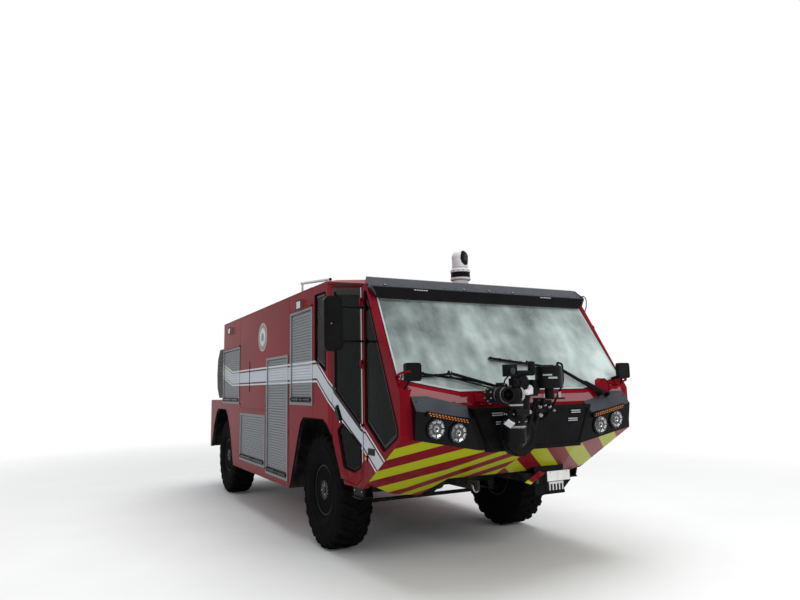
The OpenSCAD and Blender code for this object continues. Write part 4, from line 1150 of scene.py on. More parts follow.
def add_turret_base():
    base = Piece("turret_base_fittings", "body", "turret_black")
    base.bolts(stud(14, 12, 15, 10), DRUM - X * 0.0205, "x", 206.5, 12, "turret", start=math.pi / 12)
    ring = [DRUM + Vector((0.001, 0.15 * s, 0.15 * c)) for s, c in turns(48)]
    base.tube(ring, 0.006, "turret", 8, closed=True)
    # Flange of the swivel on the riser, with its bolts
    flange = (RISER_X, RISER_Y, 1.52)
    base.lathe([(0, 92), (0, 112), (18, 112), (20, 108), (20, 92)], flange, Z, "turret", 40)
    base.bolts(stud(9, -10, -12, 6), flange, "z", 102, 8, start=math.pi / 8)
    collar = [(0, 90.5), (4, 96), (26, 96), (30, 90.5)]
    base.lathe(collar, (RISER_X, RISER_Y, 1.45), Z, "steel_nut", 40)
    # Can of the drive: bands, cap, blank labels and cable
    can = DRIVE_CAN
    for z, h in ((4, 12), (150, 10), (192, 12)):
        base.lathe(hoop(z, 131, 134.5, h), can, Z, "turret", 48)
    base.lathe([(207.5, 128), (214, 122), (218, 60), (226, 56), (228, 0)], can, Z, "turret", 48)
    for angle, low, high in ((-0.8, 0.1205, 0.1355), (-0.4, 0.0915, 0.1085)):
        angles = [angle + LABEL_ARC * (j / 4 - 0.5) for j in range(5)]
        outline = [(can.x + r * math.cos(t), can.y + r * math.sin(t))
                   for r, ts in ((0.1315, angles), (0.1335, angles[::-1])) for t in ts]
        base.slab(outline, "z", can.z + low, can.z + high, "pale_line")
    cable = [(0.02, 0.1, 0.215), (0.02, 0.1, 0.25), (0.02, 0.165, 0.235), (0.01, 0.172, 0.05),
             (-0.06, 0.14, -0.1), (-0.11, 0.054, -0.255), (-0.14, -0.026, -0.315)]
    base.tube([can + Vector(p) for p in cable], 0.01, "rubber", 10, bend=0.04)
    gland = can + Vector((0.02, 0.1, 0.205))
    base.lathe(stud(18, 20, 24, 12), gland, Z, "black", 12)
    # Small bright plugs and hoses between the drum and the bracket
    for y, z, r in ((-0.105, 1.64, 20), (-0.045, 1.655, 17), (0.015, 1.64, 20), (0.065, 1.6, 16),
                    (-0.1, 1.56, 24)):
        plug = [(-45, r * 0.7), (10, r * 0.7), (12, r), (26, r), (30, r * 0.8), (40, r * 0.55)]
        base.lathe(plug, (2.4, y, z), X, "steel_nut", 6)
        hose = [(2.365, y, z), (2.33, y, z), (2.3, y * 0.6 - 0.04, 1.52), (2.285, y * 0.4 - 0.09, 1.47)]
        base.tube(hose, 0.008, "rubber", 8, bend=0.03)
    base.box((2.36, -0.12, 1.585), (2.372, 0.085, 1.7), "turret")
    # Drain elbow at the riser with its square blank cap
    elbow = [(2.45, -0.452, 1.506), (2.52, -0.54, 1.53), (2.546, -0.574, 1.51)]
    base.tube(elbow, 0.037, "turret", 24, bend=0.025)
    drain, out = (2.541, -0.568, 1.514), (0.45, -0.62, -0.64)
    base.lathe([(-20, 37), (-18, 44), (0, 44), (2, 37), (8, 37)], drain, out, "turret", 24)
    base.lathe([(6, 50), (20, 52), (24, 45)], drain, out, "white", 4)
    # The valve body beside the round housing, and two fittings on the bracket
    base.lathe([(0, 34), (8, 42), (150, 42), (156, 36)], (2.415, -0.17, 1.745), Z, "turret", 24)
    base.box((2.375, -0.2, 1.77), (2.445, -0.115, 1.86), "turret")
    base.lathe(stud(20, 55, 58, 14), (2.47, 0.1, 1.7245), Z, "steel_nut", 20)
    base.lathe(stud(12, 40, 43, 8), (2.47, -0.095, 1.7245), Z, "steel_nut", 6)
    base.build(0.0008)


def add_turret_pan():
    """The panning head's fittings, measured from where the riser's axis meets the cross pipe's."""
    pan = Piece("turret_pan_fittings", "turret_pan", "turret_black", origin=(RISER_X, RISER_Y, TURRET_Z))
    # Flange and ring of the swivel, silver rings and end cap of the cross pipe
    swivel = (0, 0, -0.203)
    pan.lathe([(0, 94), (0, 109), (16, 109), (18, 105), (18, 94)], swivel, Z, "turret", 40)
    pan.bolts(stud(9, 28, 30, 6, 16), swivel, "z", 100.5, 8)
    pan.lathe([(0, 74), (4, 80), (20, 80), (24, 74)], (0, 0, -0.11), Z, "steel_nut", 40)
    for y, r, w in ((0.058, 68, 14), (0.028, 86, 18), (-0.1, 80, 18), (-0.1285, 74, 12)):
        pan.lathe(hoop(0, 57, r, w), (0, y, 0), Y, "steel_nut", 40)
    cap = (0, 0.0745, 0)
    pan.lathe([(0, 50), (12, 50), (16, 42), (22, 0)], cap, Y, "turret")
    pan.bolts(stud(7, 16, 18, 4), cap, "y", 40, 6)
    # Worm gear housing at the front of the swivel
    worm = (0.088, 0, -0.165)
    pan.lathe(stud(34, 75, 80, 28, -75), worm, Y, "turret", 24)
    pan.lathe(stud(20, 110, 112, 16, 70), worm, Y, "steel_nut", 6)
    # Lamp head on the mast, and the disc beside it
    lamp = (0, -0.045, 0.22)
    pan.lathe([(49.5, 46), (58, 46), (62, 40), (54, 38), (52, 0)], lamp, X, "gloss_black", 24)
    pan.lathe([(51.5, 36), (56, 30), (58, 0)], lamp, X, "tinted_lens", 24)
    disc = [(-1, 33), (6, 38), (20, 36), (28, 20), (29, 0)]
    pan.lathe(disc, (0, 0.215, 0.285), Z, "turret", 24)
    pan.lathe(stud(20, 12, 14, 15), (0.0395, 0, 0.115), X, "turret", 12)
    # A gear motor beside the swivel, with its flanges and cover
    motor = [(0, 46), (10, 56), (120, 56), (122, 64), (150, 64), (152, 56), (245, 56), (248, 62),
             (262, 62), (266, 52), (322, 46), (335, 36)]
    pan.lathe(motor, (-0.012, 0.118, -0.165), Z, "turret")
    # Housings of the worm gear, of the lamp, on the pipe and of the gear motors
    for low, high in (((0.03, -0.045, -0.191), (0.085, 0.045, -0.133)),
                      ((-0.045, -0.097, 0.168), (0.05, 0.007, 0.28)),
                      ((-0.035, -0.036, 0.08), (0.04, 0.034, 0.15)),
                      ((-0.05, 0.045, 0.024), (0.04, 0.15, 0.138)),
                      ((-0.045, 0.052, -0.153), (0.03, 0.14, -0.065)),
                      ((-0.03, 0.028, 0.138), (0.03, 0.125, 0.205))):
        pan.box(low, high, "turret")
    for y, z in ((0.06, 0.045), (0.06, 0.118), (0.135, 0.118)):
        pan.lathe(stud(7, 6, 8, 4, -1), (0.04, y, z), X, "black", 6)
    for y in (0.06, 0.09):
        pan.lathe(stud(11, 12, 14, 8, -20), (0.018, y, 0.205), (0, 0.2, 1), "turret", 12)
    upper = [(0.02, 0.02, 0.148), (0.06, 0.08, 0.19), (0.05, 0.14, 0.185)]
    lower = [(-0.02, -0.05, 0.17), (-0.075, -0.06, 0.13), (-0.08, -0.02, -0.02), (-0.072, 0.01, -0.09)]
    pan.tube(upper, 0.007, "rubber", 8, bend=0.03)
    pan.tube(lower, 0.007, "rubber", 8, bend=0.04)
    # A pale cover over the valve's plugs
    cover = [(0.138, 0.087), (0.158, 0.081), (0.177, 0.057), (0.172, -0.001), (0.104, -0.009),
             (0.058, 0.019), (0.072, 0.035), (0.116, 0.047)]
    pan.slab(cover, "x", 0.04, 0.062, "white")
    pan.slab(inset(cover, 0.012), "x", 0.062, 0.072, "white")
    pan.build(0.0008)


def add_turret_tilt():
    """The nozzle's fittings, measured from where its own axis meets the tilt axis."""
    origin = (RISER_X, RISER_Y - 0.215, TURRET_Z)
    tilt = Piece("turret_tilt_fittings", "turret_tilt", "turret_black", origin=origin)
    for y, r, w in ((0.066, 78, 18), (-0.0755, 74, 12)):
        tilt.lathe(hoop(0, 73, r, w), (0, y, 0), Y, "turret", 40)
    cap = (0, -0.075, 0)
    tilt.lathe([(0, 64), (-10, 62), (-16, 44), (-20, 0)], cap, Y, "turret", 40)
    tilt.bolts(stud(8, -22, -24, 5, -6), cap, "y", 53, 6)
    for x, r, w in ((0.066, 76.5, 12), (0.152, 73.5, 14)):
        tilt.lathe(hoop(0, 62, r, w), (x, 0, 0), X, "steel_nut", 40, ring=True)
    # Teeth round the mouth, and the straightener inside
    tilt.bolts([(-16, 6), (10, 6)], (0.178, 0, 0), "x", 66.5, 18, "turret")
    for s, c in turns(6)[:3]:
        u, v = Vector((c, s)), Vector((-s, c))
        blade = [u * a + v * b for a, b in rect(0.047, 0.002, -0.047, -0.002)]
        tilt.slab(blade, "x", 0.152, 0.177, "black")
    # Foam deflector's actuator above the barrel
    tilt.lathe(stud(18, 120, 122, 14, 20), (0, 0, 0.094), X, "turret", 16)
    tilt.lathe([(122, 6), (168, 6)], (0, 0, 0.094), X, "chrome", 10)
    tilt.box((0.028, -0.012, 0.06), (0.052, 0.012, 0.086), "turret")
    tilt.box((0.156, -0.009, 0.066), (0.17, 0.009, 0.102), "turret")
    tilt.build(0.0008)


add_turret_base()
add_turret_pan()
add_turret_tilt()

# The body's sides, roof and rear. Lockers are [x0, x1, z0, z1].
LOCKERS = ((-4.8, -3.62, 1.66, 2.56), (-3.47, -2.05, 0.76, 1.45), (-1.93, -0.98, 0.7, 2.28),
           (-0.82, -0.03, 1.69, 2.82))
FRAME_OUT = HALF_W + 0.008
SHUTTER_Y = HALF_W - 0.0085
REAR_X = -5.87
REAR_WALL_X = -4.83
ROOF = 3.0895


def add_ribs(piece, section, places, axis, ends, key):
    """The same 2-D section made solid at several places, from one end to the other along an axis."""
    for a, b in places:
        piece.slab([(a + p, b + q) for p, q in section], axis, *ends, key)


def add_lockers(side):
    trim = side_piece("locker_trim", "aluminium", side)
    for x0, x1, z0, z1 in LOCKERS:
        # Guide channels inside the frame
        for x, d in ((x0, 1), (x1, -1)):
            trim.box((x, HALF_W - 0.016, z0), (x + 0.01 * d, FRAME_OUT - 0.002, z1), "aluminium")
            trim.box((x + 0.01 * d, HALF_W - 0.014, z0), (x + 0.013 * d, HALF_W - 0.004, z1), "rubber")
            for z in (z0 + 0.1, z1 - 0.1, (z0 + z1) / 2):
                place = (x - 0.017 * d, FRAME_OUT, z)
                trim.lathe([(0, 5.5), (1.5, 5), (2, 0)], place, Y, "steel_nut", 8)
        # Black bottom rail with its latch bar, lift handles and end blocks
        rail = ((0, 0.004), (0.01, 0.008), (0.012, 0.06), (0.003, 0.07), (0, 0.072))
        add_ribs(trim, rail, [(SHUTTER_Y, z0)], "x", (x0 + 0.014, x1 - 0.014), "black")
        bar = [(x, SHUTTER_Y + 0.022, z0 + 0.036) for x in (x0 + 0.045, x1 - 0.045)]
        trim.tube(bar, 0.0085, "gloss_black")
        middle = (x0 + x1) / 2
        for x in (x0 + 0.035, x1 - 0.035, middle - 0.07, middle + 0.07):
            trim.block((x, SHUTTER_Y + 0.021, z0 + 0.036), (0.028, 0.026, 0.032), "gloss_black")
    trim.build(0.001)

    # The rolled-up shutters' covers over the front and rear lockers
    hood = side_piece("shutter_hoods", "body_red", side)
    section = ((-0.001, 0), (0.016, 0.002), (0.02, 0.012), (-0.001, 0.03))
    add_ribs(hood, section, [(HALF_W, 2.856)], "x", (-0.86, -0.012), "red")
    add_ribs(hood, section, [(HALF_W, 2.596)], "x", (-4.83, -3.59), "red")
    hood.build(0.001)


ARCH_MIDDLE_Z = 0.6
FRONT_ARCH = [(-0.86, 0.6), (-0.8, 0.7), (-0.56, 1.2), (-0.43, 1.44), (-0.33, 1.51), (0.33, 1.51),
              (0.47, 1.45), (0.612, 1.316)]
REAR_ARCH_HALF = [(0.3, 1.52), (0.44, 1.44), (0.64, 1.2), (0.78, 0.9), (0.838, 0.795)]
REAR_ARCH = [(-x, z) for x, z in REAR_ARCH_HALF[::-1]] + REAR_ARCH_HALF


def add_arch_strip(piece, arch, axle_x, surface):
    """A rubber strip along a wheel arch, on a side whose half width is surface(x)."""
    rings = []
    for x, z in arch:
        d = Vector((-x, ARCH_MIDDLE_Z - z)).normalized() * 0.016
        x += axle_x
        low, high = surface(x) - 0.002, surface(x) + 0.006
        rings.append([(x, low, z), (x, high, z), (x + d.x, high, z + d.y), (x + d.x, low, z + d.y)])
    piece.loft(rings, "rubber")


# A plain oval disc on the tank's side: its middle, its half sizes, and its layers as
# share of the size, distances out from the side and material
DISC_X, DISC_Z = -2.185, 2.648
DISC_HALF_X, DISC_HALF_Z = 0.235, 0.214
DISC_LAYERS = (
    (1.0, -0.0004, 0.0022, "gold"), (0.93, 0.0018, 0.0028, "disc_blue"), (0.66, 0.0024, 0.0034, "gold"),
    (0.61, 0.003, 0.004, "disc_pale"), (0.3, 0.0036, 0.0046, "disc_blue"))


def add_side(side):
    trim = side_piece("side_trim", "black_moulding", side)
    add_arch_strip(trim, FRONT_ARCH, 0, side_y)
    add_arch_strip(trim, REAR_ARCH, -WHEELBASE, lambda x: HALF_W)
    # Lower edge profile, upright strip, ledge over the low locker, a thin angle along the roof's edge
    trim.box((-3.945, HALF_W - 0.001, 0.59), (-0.87, HALF_W + 0.005, 0.612), "red")
    trim.box((-2.936, HALF_W - 0.001, 1.83), (-2.926, HALF_W + 0.006, 2.32), "black")
    ledge = ((-0.001, 1.548), (0.01, 1.551), (0.01, 1.565), (-0.001, 1.571))
    add_ribs(trim, ledge, [(HALF_W, 0)], "x", (-3.548, -1.968), "red")
    angle = ((-0.03, 0), (-0.03, 0.003), (0.003, 0.003), (0.003, -0.0115), (-0.001, -0.0115), (-0.001, 0))
    add_ribs(trim, angle, [(HALF_W, ROOF)], "x", (-4.826, -0.01), "red")
    # Recessed pulls beside the lockers
    for x, z in ((-0.94, 1.3), (-2, 1.62), (-3.5, 1.62)):
        pull = [(0, 17), (3, 17), (5, 12), (3, 8), (3, 0)]
        trim.lathe(pull, (x, HALF_W, z), Y, "black", 20)
    trim.build(0.0008)

    lamps = side_piece("scene_lamps", "lamp", side)
    y = HALF_W + 0.035
    for x in (-0.52, -4.37):
        lamps.rim(rect(x, 2.86, x + 0.19, 2.985), 0.014, "y", y - 0.001, y + 0.005, "black")
        for i in range(5):
            for j in range(3):
                place = (x + 0.031 + 0.032 * i, y, 2.89 + 0.0325 * j)
                lamps.lathe([(0, 13.5), (4, 12), (4.5, 5), (2, 0)], place, Y, "reflector", 12)
    lamps.build(0.0006)

    disc = side_piece("oval_disc", "body_red", side)
    for share, low, high, key in DISC_LAYERS:
        a, b = DISC_HALF_X * share, DISC_HALF_Z * share
        oval = [(DISC_X + a * c, DISC_Z + b * s) for s, c in turns(64)]
        disc.slab(oval, "y", HALF_W + low, HALF_W + high, key)
    disc.build()


HATCH_HALF = 0.36


def add_roof():
    roof = Piece("roof_details", "body", "aluminium")
    # Chequered walkway plates and cross bars
    for x0, x1 in ((-4.7, -3.7), (-3.42, -0.98)):
        for y in (-0.92, 0.92):
            roof.box((x0, y - 0.3, ROOF), (x1, y + 0.3, ROOF + 0.004), "tread_plate")
    for x in (-4.45, -3.95, -0.7, -0.25):
        roof.box((x - 0.01, -1.45, ROOF), (x + 0.01, 1.45, 3.096), "aluminium")
    # Two hatches with their grips and hinges
    for x in (-2.9, -1.6):
        back = x - HATCH_HALF
        outline = rounded(rect(back, -HATCH_HALF, x + HATCH_HALF, HATCH_HALF), 0.06)
        roof.slab(outline, "z", ROOF, ROOF + 0.03, "red")
        roof.slab(inset(outline, 0.03), "z", ROOF + 0.03, ROOF + 0.042, "red")
        for s in SIDES:
            grip = [(x - 0.08, 3.13), (x - 0.08, 3.16), (x + 0.08, 3.16), (x + 0.08, 3.13)]
            roof.tube([lift(p, "y", s * 0.22) for p in grip], 0.008, "steel_nut", 10, bend=0.02)
            roof.box((back - 0.02, s * 0.2 - 0.03, ROOF), (back + 0.03, s * 0.2 + 0.03, 3.125), "black")
    # Feet and end caps of the handrails
    for side in SIDES:
        y = (HALF_W - 0.07) * side
        for x in (-0.57, 0.4):
            roof.lathe([(0, 34), (6, 34), (9, 28), (30, 19)], (x, y, ROOF), Z, "aluminium", 24)
        for x, z, out in ((-0.585, 3.231, (-1, 0, 0.105)), (0.415, 3.126, (1, 0, -0.105))):
            roof.lathe([(0, 16.5), (6, 19), (12, 12)], (x, y, z), out, "black", 16)
    roof.build(0.0015)


# The roof camera, measured from its foot: where its dome starts, and the dome's radius.
# Its window is turned a little to the left.
CAMERA_FOOT = (0.955, 0, 3.1103)
DOME_Z, DOME_R = 0.284, 0.1
WINDOW_COS, WINDOW_SIN = 0.99, 0.139
WINDOW_Z, WINDOW_HALF_W, WINDOW_HALF_H = 0.2717, 0.06, 0.092


def on_dome(y, z, out):
    r = DOME_R - 0.002 if z < DOME_Z else DOME_R
    up = max(0.0, z - DOME_Z)
    reach = math.sqrt(max(1e-6, r * r - y * y - up * up))
    turned = (reach * WINDOW_COS - y * WINDOW_SIN, reach * WINDOW_SIN + y * WINDOW_COS, up)
    return Z * min(z, DOME_Z) + Vector(turned) * ((r + out) / r)


def add_camera_head():
    head = Piece("camera_details", "camera", "camera_white", origin=CAMERA_FOOT)
    # Bellows between the foot and the shoulder, a shadow ring over the shoulder
    bellows = [(33.5, 111), (34, 117.2), (50, 113.2), (66, 117.2), (82, 113.2), (98, 117.2), (98.5, 111)]
    head.lathe(bellows, (0, 0, 0), Z, "black", 64)
    ring = [(150, 97.5), (150.5, 99.5), (156, 99.5), (157, 97.5)]
    head.lathe(ring, (0, 0, 0), Z, "gloss_black", 64)
    # The dome's oval window, and the lens in it
    for size, low, high, key in ((1, -0.003, 0.003, "gloss_black"), (0.42, 0.002, 0.0042, "tinted_lens")):
        levels = [(1, low), (1, high - 0.001)] + [(share, high) for share in (0.94, 0.7, 0.45, 0.2, 0.02)]
        rings = []
        for share, out in levels:
            a, b = WINDOW_HALF_W * size * share, WINDOW_HALF_H * size * share
            rings.append([on_dome(a * c, WINDOW_Z + b * s, out) for s, c in turns(40)])
        head.loft(rings, key)
    # Screws round the shoulder
    for s, c in turns(12, math.pi / 12):
        out = Vector((c, s, 0))
        head.lathe([(-1, 6), (1.5, 5.5), (2, 0)], out * 0.12 + Z * 0.115, out, "gloss_black", 12)
    head.build(0.0008)


def add_rear():
    rear = Piece("rear_details", "body", "black_moulding")
    louvre = ((0.001, 0), (-0.016, 0), (-0.018, 0.006), (0.001, 0.03))
    louvre_places = [(REAR_X, 1.09 + 0.048 * k) for k in range(9)]
    for side in SIDES:
        # Lamp clusters: three lenses each, and a round reflector
        low, high = sorted((1.195 * side, 1.425 * side))
        for z0, z1, key in ((1.195, 1.31, "amber_lens"), (1.32, 1.43, "lamp_red"),
                            (1.44, 1.545, "lamp_white")):
            lens = rect(low, z0, high, z1)
            rear.loft([[(REAR_X - out, *p) for p in rounded(inset(lens, depth), 0.02)]
                       for out, depth in ((0.0248, 0), (0.0308, 0.002), (0.0348, 0.012))], key)
        lamp = [(0, 40), (8, 40), (12, 34), (13, 0)]
        rear.lathe(lamp, (REAR_X, 1.31 * side, 1.08), -X, "lamp_red", 28)
        add_ribs(rear, louvre, louvre_places, "y", (0.3 * side, 1.06 * side), "black")
        # Handrails up the rear wall
        out_x = REAR_WALL_X - 0.07
        rail = [(REAR_WALL_X, 2.8), (out_x, 2.8), (out_x, 1.95), (REAR_WALL_X, 1.95)]
        rear.tube([lift(p, "y", 1.34 * side) for p in rail], 0.014, "aluminium", 14, bend=0.04)
        for z in (1.95, 2.8):
            foot = (REAR_WALL_X, 1.34 * side, z)
            rear.lathe(stud(28, 6, 9, 20), foot, -X, "aluminium", 20)
    rear.box((REAR_X - 0.008, -0.26, 1.33), (REAR_X, 0.26, 1.45), "gloss_black")
    rear.box((REAR_X - 0.01, -0.25, 1.34), (REAR_X - 0.008, 0.25, 1.44), "plate")
    # Lower edge strip, and air slots in the deck's top
    rear.box((REAR_X - 0.006, -1.5, 0.79), (REAR_X + 0.001, 1.5, 0.85), "rubber")
    slot = ((0, 0), (0.006, 0.0145), (0.014, 0.0165), (0.036, 0))
    add_ribs(rear, slot, [(-5.7 + 0.06 * k, 1.6795) for k in range(13)], "y", (-0.7, 0.7), "black")
    # Rear wall panel: its border and slats
    wall = REAR_WALL_X + 0.001
    rear.rim(rect(-1.2, 1.78, 1.2, 2.92), 0.034, "x", wall, wall - 0.009, "aluminium")
    slat = ((0, 0), (-0.006, 0.004), (-0.006, 0.036), (0, 0.04))
    add_ribs(rear, slat, [(wall, 1.822 + 0.0415 * k) for k in range(26)], "y", (-1.164, 1.164), "slats")
    rear.build(0.001)

    # Louvres of the air intake on the right, the middle ones longer
    intake = Piece("intake_details", "body", "black_moulding")
    louvre = ((0.001, 0), (-0.012, 0), (-0.014, 0.006), (0.001, 0.04))
    outside, front = 0.02 - HALF_W, REAR_WALL_X - 0.045
    for k in range(11):
        length = 0.52 if 2 <= k <= 8 else 0.4
        add_ribs(intake, louvre, [(outside, 1.8 + 0.068 * k)], "x", (front - length, front), "black")
    intake.build(0.001)


for side in SIDES:
    add_lockers(side)
    add_side(side)
add_roof()
add_camera_head()
add_rear()


# Inside the cab. Seats are [x, y, height of the floor].
SEAT_PLACES = ((0.68, 0, 1.17), (0.52, 0.78, 1.57), (0.52, -0.78, 1.57))
CUSHION_TILT, BACK_TILT = -3, -8
# A seat's soft blocks: name, sides, place from its middle, size, tilt, crown and pull
SEAT_BLOCKS = (
    ("cushion", (0,), (0.01, 0, 1.752), (0.48, 0.47, 0.115), CUSHION_TILT, 0.16, 0.1),
    ("side", SIDES, (0.01, 0.205, 1.79), (0.4, 0.075, 0.075), CUSHION_TILT, 0.2, 0.1),
    ("back", (0,), (-0.3, 0, 2.06), (0.095, 0.43, 0.56), BACK_TILT, 0.18, 0.08),
    ("wing", SIDES, (-0.268, 0.19, 2.04), (0.08, 0.07, 0.46), BACK_TILT, 0.2, 0.1),
    ("head", (0,), (-0.352, 0, 2.4), (0.08, 0.25, 0.13), BACK_TILT, 0.2, 0.12))


def soft_block(name, place, size, tilt, crown, pull):
    """A stuffed form: a box whose faces are crowned and whose edges pull in between the corners."""
    work = bmesh.new()
    bmesh.ops.create_cube(work, size=2.0)
    bmesh.ops.subdivide_edges(work, edges=work.edges[:], cuts=5, use_grid_fill=True)
    for v in work.verts:
        bulge = [1.0 - abs(c) ** 2.4 for c in v.co]
        swollen = []
        for axis, c in enumerate(v.co):
            a, b = bulge[:axis] + bulge[axis + 1:]
            if abs(abs(c) - 1) < 1e-4:
                c *= 1 + crown * a * b - pull * (1 - max(a, b)) ** 2
            swollen.append(c * size[axis] / 2)
        v.co = swollen
    mesh = bpy.data.meshes.new(name)
    work.to_mesh(mesh)
    work.free()
    mesh.shade_smooth()
    made = bpy.data.objects.new(name, mesh)
    made.location = at(*place)
    made.rotation_euler = (0, math.radians(tilt), 0)
    bpy.context.scene.collection.objects.link(made)
    mesh.materials.append(MAT["fabric"])
    soft = made.modifiers.new("soft", "SUBSURF")
    soft.levels = soft.render_levels = 2
    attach(made, "body")


def add_seat(under, k, x, y, z):
    for name, sides, (dx, dy, height), *form in SEAT_BLOCKS:
        for side in sides:
            tag = f"{k}_{side_name(side)}" if side else str(k)
            soft_block(f"seat_{name}_{tag}", (x + dx, y + side * dy, height), *form)
    for side in SIDES:
        bar = [(x - 0.215, 1.7), (x - 0.325, 1.8), (x - 0.42, 2.36), (x - 0.385, 2.4)]
        under.tube([lift(p, "y", y + side * 0.06) for p in bar], 0.008, "steel_nut", 10, bend=0.05)
    # Base with bellows, cushion pan, belt
    under.box((x - 0.155, y - 0.155, z), (x + 0.155, y + 0.155, 1.6), "trim")
    for i in range(4):
        width = 0.33 - 0.012 * i
        under.block((x, y, 1.6065 + 0.021 * i), (width, width, 0.013), "rubber")
    under.box((x - 0.225, y - 0.235, 1.684), (x + 0.245, y + 0.235, 1.7), "black")
    under.extrude([(x - 0.245, y - 0.185, 2.27), (x - 0.245, y - 0.145, 2.27),
                   (x - 0.12, y + 0.215, 1.87), (x - 0.12, y + 0.165, 1.87)], (0.004, 0, 0.002), "belt")


def add_seats():
    under = Piece("seat_bases", "body", "cabin_plastic")
    for k, place in enumerate(SEAT_PLACES):
        add_seat(under, k, *place)
    made = under.build(0.002)
    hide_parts("seats")


def dash(y, z):
    """A point on the dashboard's slanted inner face."""
    return (1.54 + (z - 1.76) * 1.6, y, z)


def add_cabin():
    cabin = Piece("cab_controls", "body", "cabin_plastic")
    # Screens, switch rows and vents on the dashboard
    for y, w in ((-0.52, 0.16), (0, 0.15), (0.52, 0.16)):
        glass = [dash(*p) for p in rect(y - w, 1.775, y + w, 1.845)]
        cabin.extrude(glass, (-0.012, 0, 0.02), "gloss_black")
    for k in range(14):
        y = -1.15 + 0.045 * k
        cabin.extrude([dash(*p) for p in rect(y, 1.785, y + 0.03, 1.815)], (-0.005, 0, 0.008), "black")
    for y in (0.95, 1.12):
        vent = [(0, 36), (10, 36), (12, 28), (6, 24), (6, 0)]
        cabin.lathe(vent, dash(y, 1.805), (-0.53, 0, 0.85), "black", 24)
    # Radio console under the roof and sun blinds
    cabin.box((1.02, -0.42, 2.85), (1.3, 0.42, 2.93), "trim")
    for y in (-0.22, 0, 0.22):
        cabin.box((1.012, y - 0.08, 2.862), (1.021, y + 0.08, 2.912), "gloss_black")
    for y in (-1.1, 0.62):
        cabin.box((1.33, y, 2.785), (1.342, y + 0.48, 2.925), "trim")
    # Joystick of the turret on its stalk beside the driver
    stick = [(0, 45), (20, 40), (28, 18), (110, 16), (150, 22), (190, 18), (196, 0)]
    cabin.lathe(stick, (1.59, -0.33, 1.8), (-0.2, 0, 1), "black", 20)
    cabin.build(0.002)


def add_step(side):
    step = side_piece("step", "frame_black", side)
    y = side_y(1.23)
    step.box((0.985, y - 0.13, 0.7255), (1.195, y - 0.004, 0.7405), "black")
    for k in range(6):
        x = 1 + 0.033 * k
        step.box((x, y - 0.12, 0.74), (x + 0.012, y - 0.012, 0.744), "black")
    for x in (1, 1.18):
        step.lathe(stud(10, 6, 8, 6), (x, y - 0.0255, 0.8), Y, "steel_nut", 6)
    step.build(0.001)


add_seats()
add_cabin()
for side in SIDES:
    add_step(side)


# Camera, as fitted to the photograph
IMAGE_W = 800
SENSOR = 36.0
FOCAL_PX = 632.35
CAMERA_AT = at(7.2699, -4.1851, 1.8519)
CAMERA_YAW = 0.4879
CAMERA_PITCH = 0.1373
CAMERA_ROLL = -0.02


def add_camera():
    data = bpy.data.cameras.new("camera")
    data.sensor_width = SENSOR
    data.lens = FOCAL_PX / IMAGE_W * SENSOR
    data.clip_end = 200
    camera = bpy.data.objects.new("camera", data)
    level = Vector((-math.cos(CAMERA_YAW), math.sin(CAMERA_YAW), 0))
    forward = level * math.cos(CAMERA_PITCH) + Vector((0, 0, math.sin(CAMERA_PITCH)))
    right = forward.cross(Vector((0, 0, 1))).normalized()
    up = right.cross(forward)
    turned_right = right * math.cos(CAMERA_ROLL) + up * math.sin(CAMERA_ROLL)
    turned_up = up * math.cos(CAMERA_ROLL) - right * math.sin(CAMERA_ROLL)
    rotation = Matrix((turned_right, turned_up, -forward)).transposed().to_4x4()
    camera.matrix_world = Matrix.Translation(CAMERA_AT) @ rotation
    bpy.context.scene.collection.objects.link(camera)
    bpy.context.scene.camera = camera


# Floor, world and lamps
FLOOR_REACH = 120
LAMPS_AIM = (-1.5, 0, 1.4)
# Round the vehicle's middle the floor keeps its colour to the first distance, and is white from the second
FADE_MIDDLE_X = -1.8
FADE_STRETCH = 1.5
FADE_FROM, FADE_TO = 3.2, 10.5
LAMPS = (
    # name, place, size, power
    ("top", (-1.0, 1.0, 13.0), 12.0, 1600),
    ("front", (14.0, 4.0, 8.0), 8.0, 950),
    ("side", (1.0, -13.0, 7.0), 8.0, 200),
)


def seen_directly(tree):
    """1 for rays that come from the camera, a mirror or through glass."""
    path = tree.nodes.new("ShaderNodeLightPath")
    seen = path.outputs["Is Camera Ray"]
    for output in ("Is Glossy Ray", "Is Transmission Ray"):
        either = tree.nodes.new("ShaderNodeMath")
        either.operation = "MAXIMUM"
        tree.links.new(seen, either.inputs[0])
        tree.links.new(path.outputs[output], either.inputs[1])
        seen = either.outputs[0]
    return seen


def mix_shaders(tree, factor, first, second, target):
    mixed = tree.nodes.new("ShaderNodeMixShader")
    for socket, source in zip(mixed.inputs, (factor, first, second)):
        tree.links.new(source, socket)
    tree.links.new(mixed.outputs[0], target)


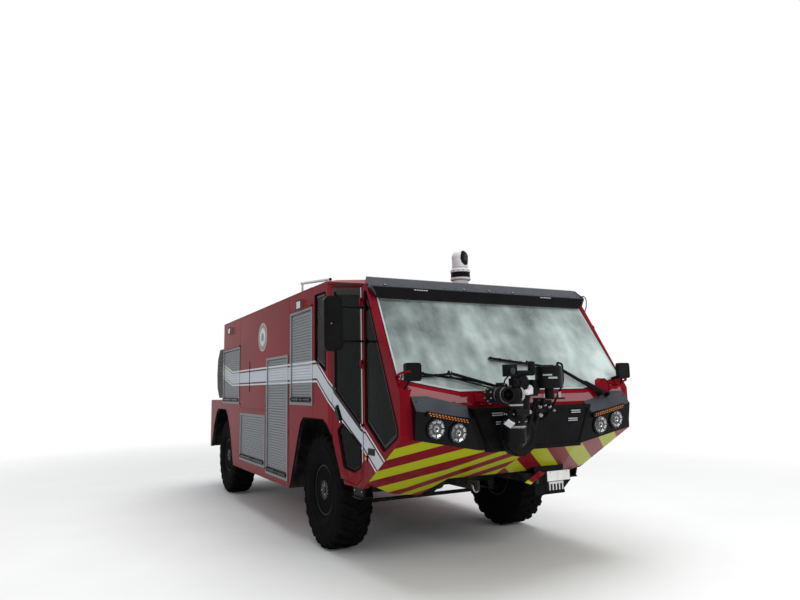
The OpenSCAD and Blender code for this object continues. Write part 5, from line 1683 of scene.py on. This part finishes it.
def add_stage():
    mesh = bpy.data.meshes.new("floor")
    corners = rect(-FLOOR_REACH, -FLOOR_REACH, FLOOR_REACH, FLOOR_REACH)
    mesh.from_pydata([lift(p, "z", 0) for p in corners], [], [(0, 1, 2, 3)])
    floor = bpy.data.objects.new("floor", mesh)
    bpy.context.scene.collection.objects.link(floor)
    p = Paint("pale_floor", roughness=0.8, specular_ior_level=0.1)
    marks = p.noise(0.8, 4.0)
    dull, bright = (0.7, 0.7, 0.695), (0.73, 0.73, 0.725)
    p.set("Base Color", p.blend(p.spread(marks, 0.3, 0.7), dull, bright))
    # Far from the vehicle the floor turns into the white background
    x, y, z = p.place()
    along = p.math("DIVIDE", p.math("SUBTRACT", x, FADE_MIDDLE_X), FADE_STRETCH)
    dx = p.math("POWER", along, 2.0)
    radius = p.math("SQRT", p.math("ADD", dx, p.math("POWER", y, 2.0)))
    far = p.math("MULTIPLY", p.spread(radius, FADE_FROM, FADE_TO), seen_directly(p.tree))
    white = p.node("ShaderNodeEmission", {"Color": (1, 1, 1, 1), "Strength": 1.0}).outputs[0]
    mix_shaders(p.tree, far, p.shader.outputs[0], white, p.tree.nodes["Material Output"].inputs[0])
    mesh.materials.append(p.mat)

    world = bpy.data.worlds.new("studio")
    bpy.context.scene.world = world
    world.use_nodes = True
    tree = world.node_tree
    light = tree.nodes["Background"]
    light.inputs["Color"].default_value = (0.95, 0.97, 1.0, 1)
    light.inputs["Strength"].default_value = 0.55
    white = tree.nodes.new("ShaderNodeBackground")
    white.inputs["Color"].default_value = (1, 1, 1, 1)
    output = tree.nodes["World Output"].inputs[0]
    mix_shaders(tree, seen_directly(tree), light.outputs[0], white.outputs[0], output)

    for name, place, size, power in LAMPS:
        data = bpy.data.lights.new(name, "AREA")
        data.shape = "DISK"
        data.size = size
        data.energy = power
        lamp = bpy.data.objects.new(name, data)
        lamp.location = at(*place)
        lamp.visible_glossy = False
        aim = at(*LAMPS_AIM) - lamp.location
        lamp.rotation_euler = aim.to_track_quat("-Z", "Y").to_euler()
        bpy.context.scene.collection.objects.link(lamp)


add_camera()
add_stage()
bpy.context.scene.view_settings.view_transform = "Standard"
